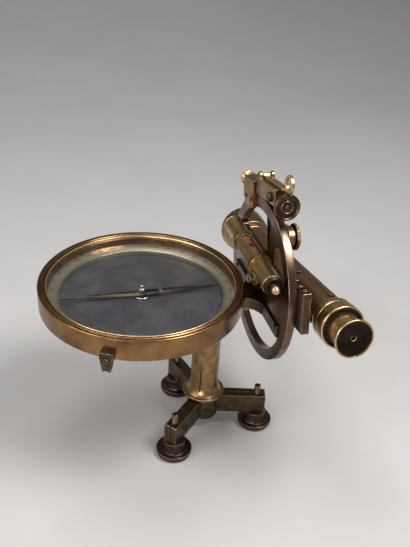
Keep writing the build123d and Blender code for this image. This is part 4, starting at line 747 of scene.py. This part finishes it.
@dataclass
class Compass:
    """Glazed compass: turned box, dial, graduated ring, needle and arrest lever."""

    offset: float = 63.5
    box_r: float = 90.0
    bore_r: float = 82.0
    fit_r: float = 81.9
    height: float = 20.5
    floor: float = 3.0
    dial_in_r: float = 7.9
    dial_top: float = 3.6
    grad_in_r: float = 72.6
    grad_in_h: float = 8.2
    grad_out_h: float = 10.5
    line_gap: float = 0.5
    ink_lift: float = 0.03
    numeral_mm: float = 3.6
    numeral_row: float = 6.2
    seat_r: float = 84.6
    seat_h: float = 16.9
    glass_t: float = 1.5
    needle_half: float = 71.5
    needle_w: float = 4.5
    needle_tip_w: float = 0.4
    needle_z: float = 6.6
    needle_t: float = 1.6
    needle_steps: int = 40
    needle_smooth_deg: float = 20.0

    @property
    def spindle(self) -> Spindle:
        """Axis of the compass, with its zero at the underside of the box."""
        return Spindle((-self.offset, 0, BOX_BASE), UP, ACROSS)

    def build_box(self) -> None:
        """Builds the box, its glass, the glass ring and the dial."""
        r, h, seat_r, fit_r = self.box_r, self.height, self.seat_r, self.fit_r
        section = [
            (0, 0), (r - 0.8, 0), (r, 0.8), (r, h - 1.1), (r - 0.7, h - 0.35), (86.9, h - 0.6), (86.2, h),
            (85.2, h), (seat_r, h - 0.5), (seat_r, self.seat_h), (self.bore_r, self.seat_h),
            (self.bore_r, self.floor), (0, self.floor),
        ]
        box = turned("compass_box_turned", self.spindle, section, corner=0.4, segments=256)
        settle(box, "upper_part", DRUM_BRASS, "drum_brass", "compass_box")
        base = self.seat_h + self.glass_t
        section = [(fit_r, base), (83.5, base), (83.5, base + 1.1), (83.1, base + 1.4)]
        section += [(82.4, base + 1.4), (fit_r, base + 0.4)]
        ring = turned("glass_ring_turned", self.spindle, section, segments=256)
        settle(ring, "upper_part", BRIGHT_BRASS, "drum_brass", "glass_ring")
        low, top, inner = self.floor, self.dial_top, self.dial_in_r
        section = [(inner, low), (fit_r, low), (fit_r, top), (inner, top)]
        dial = turned("dial_plate_turned", self.spindle, section, corner=0.1, segments=192)
        settle(dial, "upper_part", DIAL_BLACK, "black_dial", "dial_plate")
        dress(COVER_GLASS, "glass_cover")

    def build_ring(self) -> None:
        """Builds the silvered ring and its degree lines."""
        inner, outer, base = self.grad_in_r, self.fit_r, self.dial_top
        section = [(inner, base), (outer, base), (outer, self.grad_out_h), (inner, self.grad_in_h)]
        ring = turned("graduated_ring_turned", self.spindle, section, corner=0.3, segments=256)
        settle(ring, "upper_part", SILVERED, "silvered_brass", "graduated_ring")
        start = inner + self.line_gap
        lines = degree_lines("ring_degree_lines", self.spindle, start, Way.PLUS, self.ink_height)
        settle(lines, "upper_part", DIAL_INK, "black_dial")

    def ink_height(self, radius: np.ndarray) -> np.ndarray:
        """Height of the ink: that of the ring's dished top, which rises evenly, plus ink_lift."""
        share = (radius - self.grad_in_r) / (self.fit_r - self.grad_in_r)
        return self.grad_in_h + share * (self.grad_out_h - self.grad_in_h) + self.ink_lift

    def build_numerals(self) -> None:
        """Sets plain numbers every ten degrees on the ring, read from the middle.

        A number's height runs along the radius, and its turn is its width over the radius of
        the row of numbers.
        """
        row_r = self.grad_in_r + self.numeral_row
        parts: list[np.ndarray] = []
        faces: list[list[int]] = []
        count = 0
        for degree in range(0, 360, 10):
            text = bpy.data.curves.new("numeral", "FONT")
            text.body = str(degree)
            text.size = self.numeral_mm
            text.align_x = text.align_y = "CENTER"
            holder = bpy.data.objects.new("numeral", text)
            flat = holder.to_mesh()
            local = np.array([v.co for v in flat.vertices])
            radius = row_r + local[:, 1]
            turn = math.radians(90 - degree) - local[:, 0] / row_r
            parts.append(self.spindle.place(radius, turn, self.ink_height(radius)))
            faces += [[v + count for v in p.vertices] for p in flat.polygons]
            count += len(local)
            holder.to_mesh_clear()
            bpy.data.objects.remove(holder)
        settle(finish_mesh("ring_numerals", np.vstack(parts), faces), "upper_part", DIAL_INK, "black_dial")

    def build_needle(self) -> None:
        """Builds the needle's halves and its cap, and dresses its pivot, lifter and rider.

        Each half is a seven-point section whose width shrinks evenly to needle_tip_w.
        """
        section = np.array([(-1, 0.15), (-0.55, 1), (0, 1), (0.55, 1), (1, 0.15), (1, 0), (-1, 0)])
        share = np.linspace(0, 1, self.needle_steps)[:, None]
        width = self.needle_tip_w + (self.needle_w - self.needle_tip_w) * (1 - share)
        across, height = width * section[:, 0], self.needle_z + self.needle_t * section[:, 1]
        faces = capped_faces(self.needle_steps, len(section))
        for way, name, finish, nodes in (
            (Way.PLUS, "needle_north_half", NEEDLE_BLUE, ["needle"]),
            (Way.MINUS, "needle_south_half", NEEDLE_GREY, []),
        ):
            along = way.value * share * self.needle_half
            points = np.stack(np.broadcast_arrays(along, across, height), -1)
            half = finish_mesh(name, points + self.spindle.origin, faces, self.needle_smooth_deg)
            settle(half, "needle_set", finish, "dark_steel", *nodes)
        socket = [(0, 10.8), (1.9, 10.8), (1.9, 6.2), (2.85, 6.2), (2.85, 8.2), (3.5, 8.2), (3.5, 9.6)]
        crown = [(3.45, 10.2), (3.1, 11.3), (2.1, 12.0), (1.8, 12.8), (1.9, 13.8), (1.3, 14.6), (0, 14.8)]
        profile = np.vstack([rounded(socket, 0.15), curve_through(crown, 6)])
        cap = turned("needle_cap_turned", self.spindle, profile, raw=True, segments=64)
        settle(cap, "needle_set", NICKEL, "pale_agate", "needle_cap")
        dress(NICKEL, "needle_lifter")
        dress(GREY_STEEL, "needle_pivot")
        dress(BRIGHT_BRASS, "needle_rider")

    def build(self) -> None:
        """Builds the whole compass."""
        self.build_box()
        self.build_ring()
        self.build_numerals()
        self.build_needle()
        dress(TRIVET_BRONZE, "arrest_lever")
        dress(SCREW_STEEL, "arrest_screw")


@dataclass
class Circle:
    """Vertical circle with its web, the yoke and their screws."""

    face_x: float = 45.1
    thickness: float = 7.0
    outer_r: float = 76.1
    inner_r: float = 65.5
    web_half: float = 25.1
    fillet: float = 6.0
    fillet_turn: float = 0.09
    boss_r: float = 13.0
    boss_back: float = 2.0
    bore: float = 6.05
    line_r: float = 75.2
    line_lift: float = 0.02
    cutter_over: float = 3.0

    def opening(self, way: Way) -> np.ndarray:
        """Outline of one segment opening.

        The bow is an arc of the inner radius, and each of its two corners is a quadratic
        Bezier arc from fillet_turn on the bow to fillet on the web's edge.

        Args:
            way: PLUS for the opening above the web, MINUS for the one below.

        Returns:
            The outline, counter-clockwise.
        """
        r, low, flip = self.inner_r, self.web_half, np.array([-1.0, 1.0])
        reach = math.sqrt(r**2 - low**2)
        start = math.atan2(low, reach)
        arc = np.linspace(start + self.fillet_turn, math.pi - start - self.fillet_turn, 60)
        bow = np.stack([r * np.cos(arc), r * np.sin(arc)], 1)
        corner, web_end = np.array([-reach, low]), np.array([self.fillet - reach, low])
        t = np.linspace(0, 1, 7)[1:, None]
        left = (1 - t) ** 2 * bow[-1] + 2 * t * (1 - t) * corner + t**2 * web_end
        outline = np.vstack([bow, left, left[::-1] * flip])
        return outline if way is Way.PLUS else outline[::-1] * -flip

    def build(self) -> None:
        """Builds the circle and dresses the yoke."""
        axis = Spindle((self.face_x, 0, AXIS_Z), ACROSS, AHEAD)
        t, back = self.thickness, -self.boss_back
        bore, boss, rim = self.bore, self.boss_r, self.outer_r
        section = [(bore, back), (boss, back), (boss, 0), (rim, 0), (rim, t), (bore, t)]
        piece = turned("vertical_circle_turned", axis, section, corner=0.6, segments=256)
        start = (self.face_x - self.cutter_over, 0, AXIS_Z)
        for way in Way:
            cut_hole(piece, self.opening(way), start, AHEAD, UP, t + 2 * self.cutter_over)
        settle(piece, "upper_part", CIRCLE_BRASS, "aged_brass", "vertical_circle")
        lift = np.array(t + self.line_lift)
        lines = degree_lines("circle_degree_lines", axis, self.line_r, Way.MINUS, lambda _: lift)
        settle(lines, "upper_part", SILVERED, "silvered_brass")
        dress(TRIVET_BRONZE, "yoke")
        dress(SCREW_STEEL, "yoke_screws")


@dataclass
class Level:
    """Spirit level in its windowed tube."""

    x: float = 35.8
    up: float = 27.5
    half: float = 57.0
    radius: float = 8.6
    bore: float = 6.9
    bead: float = 9.0
    band: float = 0.25
    window_low: float = -17.0
    window_high: float = 18.5
    window_w: float = 5.2
    window_corner: float = 2.2
    window_reach: float = 20.0
    bubble_y: float = 1.5
    bubble_up: float = 3.5
    bubble_half: float = 8.0
    bubble_r: float = 3.4

    def window(self) -> np.ndarray:
        """Outline of the window, counter-clockwise: a rectangle with rounded corners."""
        low, high, w = self.window_low, self.window_high, self.window_w
        corner = np.array([(-w, low), (w, low), (w, high), (-w, high)])
        return bend(corner, np.full(len(corner), self.window_corner), 6)

    def build(self) -> None:
        """Builds the tube, vial and bubble, and dresses the caps, brackets and screws."""
        centre = (self.x, 0, AXIS_Z + self.up)
        axis = Spindle(centre, AHEAD, UP)
        h, r, bore, bead, band = self.half, self.radius, self.bore, self.bead, self.radius + self.band
        section = [
            (bore, -h), (bead, -h), (bead, -h + 2.4), (r, -h + 2.6), (r, 20.6), (band, 20.8), (band, 22.4),
            (r, 22.6), (r, h - 2.6), (bead, h - 2.4), (bead, h), (bore, h),
        ]
        tube = turned("level_tube_turned", axis, section, corner=0.35, segments=96)
        cut_hole(tube, self.window(), centre, ACROSS, AHEAD, self.window_reach)
        settle(tube, "upper_part", LEVEL_BRASS, "drum_brass", "level_tube")
        end = [(0, 42), (4.4, 41.6), (6.3, 39.5), (6.5, 36)]
        shape = [(radius, -reach) for radius, reach in end] + [(6.52, 0)] + end[::-1]
        vial = turned("level_vial_turned", axis, curve_through(shape, 6), raw=True, segments=64)
        settle(vial, "upper_part", SPIRIT, "vial_glass", "level_vial")
        turn = np.linspace(0, np.pi, 25)
        oval = np.stack([self.bubble_r * np.sin(turn), -self.bubble_half * np.cos(turn)], 1)
        high = Spindle((self.x, self.bubble_y, AXIS_Z + self.up + self.bubble_up), AHEAD, UP)
        bubble = turned("level_bubble", high, oval, raw=True, segments=48)
        settle(bubble, "upper_part", BUBBLE, "vial_glass")
        dress(DARK_BRASS, "level_caps")
        dress(AGED_BRASS, "level_brackets")
        dress(BRIGHT_BRASS, "level_screws")


@dataclass
class SlowMotion:
    """Verniers, clamp, tangent screw and reading loupe, which tilt with the telescope."""

    tangent_at: Point = (50.0, 0.0, 80.4)
    clamp_at: Point = (52.4, -43.0, 52.5)
    teeth: int = 60
    tooth_depth: float = 0.35

    def build(self) -> None:
        """Builds the knobs and dresses the plates and blocks."""
        axis = Spindle(limb(*self.tangent_at), SIGHT, RISE)
        disc = [
            (0, -49.6), (1.2, -49.6), (1.5, -48.9), (4.6, -48.6), (4.8, -49.0), (5.2, -49.0), (5.4, -48.5),
            (9.2, -49.0), (9.6, -50.0), (10.7, -50.0), (11.3, -49.2), (11.3, -45.6), (10.4, -44.8),
            (6.0, -44.5), (4.4, -42.7), (4.4, -35.3), (3.0, -35.3), (3.0, 40.3), (0, 40.3),
        ]
        rim = Milling(self.teeth, self.tooth_depth, -49.3, -45.5, 10.9)
        knob = turned("tangent_knob_turned", axis, disc, corner=0.35, segments=240, milling=rim)
        settle(knob, "tangent", KNOB_BRASS, "screw_brass", "tangent_screw")
        foot = rounded([(0, 40.3), (4.2, 40.3), (4.3, 41.2)], 0.2)
        flare = curve_through([(4.2, 42), (3.9, 44.5), (4.6, 48), (6.5, 50.6)], 8)
        mouth = rounded([(6.6, 50.9), (7.2, 51.3), (7.2, 52.8), (6.4, 53.8), (0, 53.8)], 0.35)
        profile = np.vstack([foot, flare, mouth])
        trumpet = turned("tangent_trumpet_turned", axis, profile, raw=True, segments=96)
        settle(trumpet, "tangent", BRIGHT_BRASS, "screw_brass", "tangent_end_knob")
        disc = [
            (0, 0), (3.0, 0), (3.0, 5.4), (4.4, 5.4), (4.4, 6.2), (10.7, 6.2), (11.5, 7.0), (11.5, 8.6),
            (10.7, 9.4), (9.3, 9.4), (8.5, 8.8), (0, 9.2),
        ]
        axis = Spindle(limb(*self.clamp_at), ACROSS, RISE)
        rim = Milling(self.teeth, self.tooth_depth, 6.8, 8.8, 11.0)
        clamp = turned("clamp_knob_turned", axis, disc, corner=0.35, segments=240, milling=rim)
        settle(clamp, "clamp", KNOB_BRASS, "screw_brass", "clamp_screw")
        dress(AGED_BRASS, "vernier_arm", "clamp_block", "trunnion_washer")
        dress(TARNISHED, "vernier_plates")
        dress(CIRCLE_BRASS, "vernier_blocks")
        dress(SCREW_STEEL, "vernier_screws", "clamp_fixings", "loupe_pin")
        dress(BLUED_STEEL, "clamp_arm")
        dress(BRIGHT_BRASS, "loupe_arm", "trunnion_nut")
        dress(LENS_GLASS, "loupe_lens")
        dress(GREY_STEEL, "trunnion")
        dress(TUBE_BRASS, "telescope_saddle")


@dataclass
class Telescope:
    """Telescope tube with its bell, collar, draw tube and eyecap."""

    x: float = 85.2
    drop: float = 10.2
    bore: float = 14.5
    radius: float = 15.7
    bead_r: float = 17.1
    near_end: float = -75.5
    far_end: float = 132.0

    @property
    def spindle(self) -> Spindle:
        """Axis of the telescope, with its zero abreast of the trunnion."""
        return Spindle(limb(self.x, 0, -self.drop), SIGHT, RISE)

    def build_tube(self) -> None:
        """Builds the main tube and the bell at its far end."""
        bore, r, bead, near, far = self.bore, self.radius, self.bead_r, self.near_end, self.far_end
        section = [
            (bore, near), (r, near), (r, 126), (16.6, 126.5), (bead, 128), (bead, 130.4), (16.6, far),
            (bore, far),
        ]
        tube = turned("main_tube_turned", self.spindle, section, corner=0.5, segments=160)
        settle(tube, "telescope", TUBE_BRASS, "telescope_brass", "main_tube")
        foot = rounded([(bore, far), (19.8, far), (20.4, 132.6)], 0.3)
        flare = curve_through([(20.4, 133.6), (22.2, 140.5), (23.6, 149), (24.6, 159), (24.9, 166)], 10)
        lip = [
            (25.2, 166.6), (25.2, 169.3), (24.6, 170), (23.4, 170), (22.8, 169.2), (21.4, 156), (19.8, 156),
            (bore, 136),
        ]
        profile = np.vstack([foot, flare, rounded(lip, 0.3)])
        bell = turned("objective_bell_turned", self.spindle, profile, raw=True, segments=160)
        settle(bell, "telescope", TUBE_BRASS, "telescope_brass", "objective_bell")

    def build_collar(self) -> None:
        """Builds the collar at the near end of the tube."""
        near = self.near_end
        neck = [
            (14.09, near), (14.09, -93.1), (18.0, -93.1), (18.0, -97.1), (19.0, -97.1), (19.47, -96.6),
            (19.47, -85.2), (17.9, -85.0),
        ]
        bulge = [(17.9, -84.0), (18.7, -82.5), (19.0, -79.75), (18.7, -77.0), (17.9, near)]
        profile = np.vstack([rounded(neck, 0.4), curve_through(bulge, 6)])
        collar = turned("eyepiece_collar_turned", self.spindle, profile, raw=True, segments=160)
        settle(collar, "telescope", BRIGHT_BRASS, "telescope_brass", "eyepiece_collar")

    def build_eyepiece(self) -> None:
        """Builds the draw tube and the eyecap."""
        section = [(12.9, -115.3), (14.04, -115.3), (14.04, -80), (12.9, -80)]
        draw = turned("draw_tube_turned", self.spindle, section, corner=0.2)
        settle(draw, "eyepiece", BRIGHT_BRASS, "dark_bronze", "draw_tube")
        section = [
            (2.0, -115.3), (2.0, -115.9), (3.2, -116.1), (15.3, -117.0), (15.9, -118.0), (16.6, -118.0),
            (17.03, -117.5), (17.03, -116.0), (16.2, -115.3), (15.1, -114.9), (14.9, -110.3),
            (14.09, -110.3), (14.09, -115.3),
        ]
        cap = turned("eyecap_turned", self.spindle, section, corner=0.3, segments=160)
        settle(cap, "eyepiece", BRIGHT_BRASS, "dark_bronze", "eyecap")

    def build_linings(self) -> None:
        """Builds the thin dark skin on the eyecap's face, and the painted shade in the collar's recess."""
        skin = [
            (2.1, -116.0), (3.3, -116.18), (15.2, -117.06), (15.75, -117.9), (15.6, -117.5), (15.1, -116.9),
            (2.1, -115.9),
        ]
        # a thin dark skin darkens the eyecap's brass face
        face = turned("eyecap_face_dark_skin", self.spindle, skin, corner=0.05)
        settle(face, "eyepiece", DARK_BRASS, "dark_bronze")
        # the collar's recess lies in shadow: this black skin on its floor and wall is painted shade
        skin = [(14.2, -93.2), (17.9, -93.2), (17.95, -96.9), (17.6, -96.9), (17.5, -93.5), (14.2, -93.5)]
        mouth = turned("collar_mouth_painted_shade", self.spindle, skin, corner=0.05)
        settle(mouth, "telescope", SOOT_BLACK_AND_PAINTED_SHADE, "telescope_brass")

    def build(self) -> None:
        """Builds the turned pieces of the telescope and dresses its screws and glasses."""
        self.build_tube()
        self.build_collar()
        self.build_eyepiece()
        self.build_linings()
        dress(SOOT_BLACK_AND_PAINTED_SHADE, "glare_stop", "reticle")
        dress(SCREW_STEEL, "tube_screws")
        dress(LENS_GLASS, "objective_lens", "eyepiece_lenses")
        dress(DARK_BRASS, "objective_ring")


@dataclass
class Studio:
    """Pale floor, soft lamps and the camera. Places of lamps are metres."""

    floor_z: float = -12.5
    floor_x: Point = (-6000, 6000)
    floor_y: Point = (-4000, 6000)
    flat_until: float = 900
    floor_rise: float = 0.00018
    focal_mm: float = 46.164
    sensor_mm: float = 36.0
    camera: Point = (-162.08, -515.96, 487.08)
    right: Point = (0.96492, -0.25658, 0.05561)
    up: Point = (0.08666, 0.51124, 0.85506)
    world: str = "#cbc9c6"
    world_strength: float = 0.44
    aim: Point = (0.0, 0.0, 0.1)
    lamps: tuple[tuple[str, Point, float, float], ...] = (
        ("key_right_top", (0.41, -0.38, 1.09), 0.45, 13.0),
        ("fill_left", (-1.2, -0.35, 0.9), 0.7, 9.0),
        ("fill_front_left", (-0.7, -1.05, 0.42), 0.5, 5.0),
        ("top_back", (-0.25, 0.35, 1.7), 0.8, 10.5),
    )

    def build_floor(self) -> None:
        """Lays a wide pale floor that curves up far behind the object.

        It is level as far as flat_until, and from there it rises by floor_rise times the
        square of the distance.
        """
        columns, rows = 41, 121
        x = np.linspace(*self.floor_x, columns)[None, :]
        y = np.linspace(*self.floor_y, rows)[:, None]
        z = self.floor_z + self.floor_rise * np.maximum(0, y - self.flat_until) ** 2
        points = np.stack(np.broadcast_arrays(x, y, z), -1)
        floor = finish_mesh("studio_floor", points, grid_faces(rows, columns, False, False))
        floor.data.flip_normals()
        floor.data.materials.append(FLOOR.build())
        LOG.info("laid %s", floor.name)

    def build_lamps(self) -> None:
        """Hangs square area lamps that all look at the middle of the object."""
        for name, place, size, power in self.lamps:
            lamp = bpy.data.lights.new(name, "AREA")
            lamp.shape = "SQUARE"
            lamp.size = size
            lamp.energy = power
            holder = bpy.data.objects.new(name, lamp)
            holder.location = place
            holder.rotation_euler = (Vector(self.aim) - Vector(place)).to_track_quat("-Z", "Y").to_euler()
            bpy.context.scene.collection.objects.link(holder)
            LOG.info("hung %s", name)

    def build_world(self) -> None:
        """Lights the room with one plain pale colour."""
        world = bpy.data.worlds.new("studio")
        world.use_nodes = True
        world.node_tree.nodes.clear()
        light = {"Color": linear(self.world), "Strength": self.world_strength}
        glow = add_node(world.node_tree, "ShaderNodeBackground", values=light)
        add_node(world.node_tree, "ShaderNodeOutputWorld", links={"Surface": glow.outputs[0]})
        bpy.context.scene.world = world

    def build_camera(self) -> None:
        """Sets the camera where the photograph was taken from."""
        lens = bpy.data.cameras.new("camera")
        lens.lens = self.focal_mm
        lens.sensor_width = self.sensor_mm
        lens.clip_start, lens.clip_end = 0.01, 60.0
        right, up = Vector(self.right).normalized(), Vector(self.up).normalized()
        matrix = Matrix((right, up, right.cross(up))).transposed().to_4x4()
        matrix.translation = Vector(self.camera) * MM
        holder = bpy.data.objects.new("camera", lens)
        holder.matrix_world = matrix
        bpy.context.scene.collection.objects.link(holder)
        bpy.context.scene.camera = holder

    def build(self) -> None:
        """Builds the room."""
        self.build_floor()
        self.build_lamps()
        self.build_world()
        self.build_camera()
        bpy.context.scene.view_settings.view_transform = "Standard"


def main() -> None:
    """Builds every sub-assembly in order and logs each one."""
    logging.basicConfig(level=logging.INFO, format="%(message)s")
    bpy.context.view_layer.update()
    for group in (Studio(), Trivet(), Column(), Compass(), Circle(), Level(), SlowMotion(), Telescope()):
        group.build()
        LOG.info("built %s", type(group).__name__)


if __name__ == "__main__":
    main()
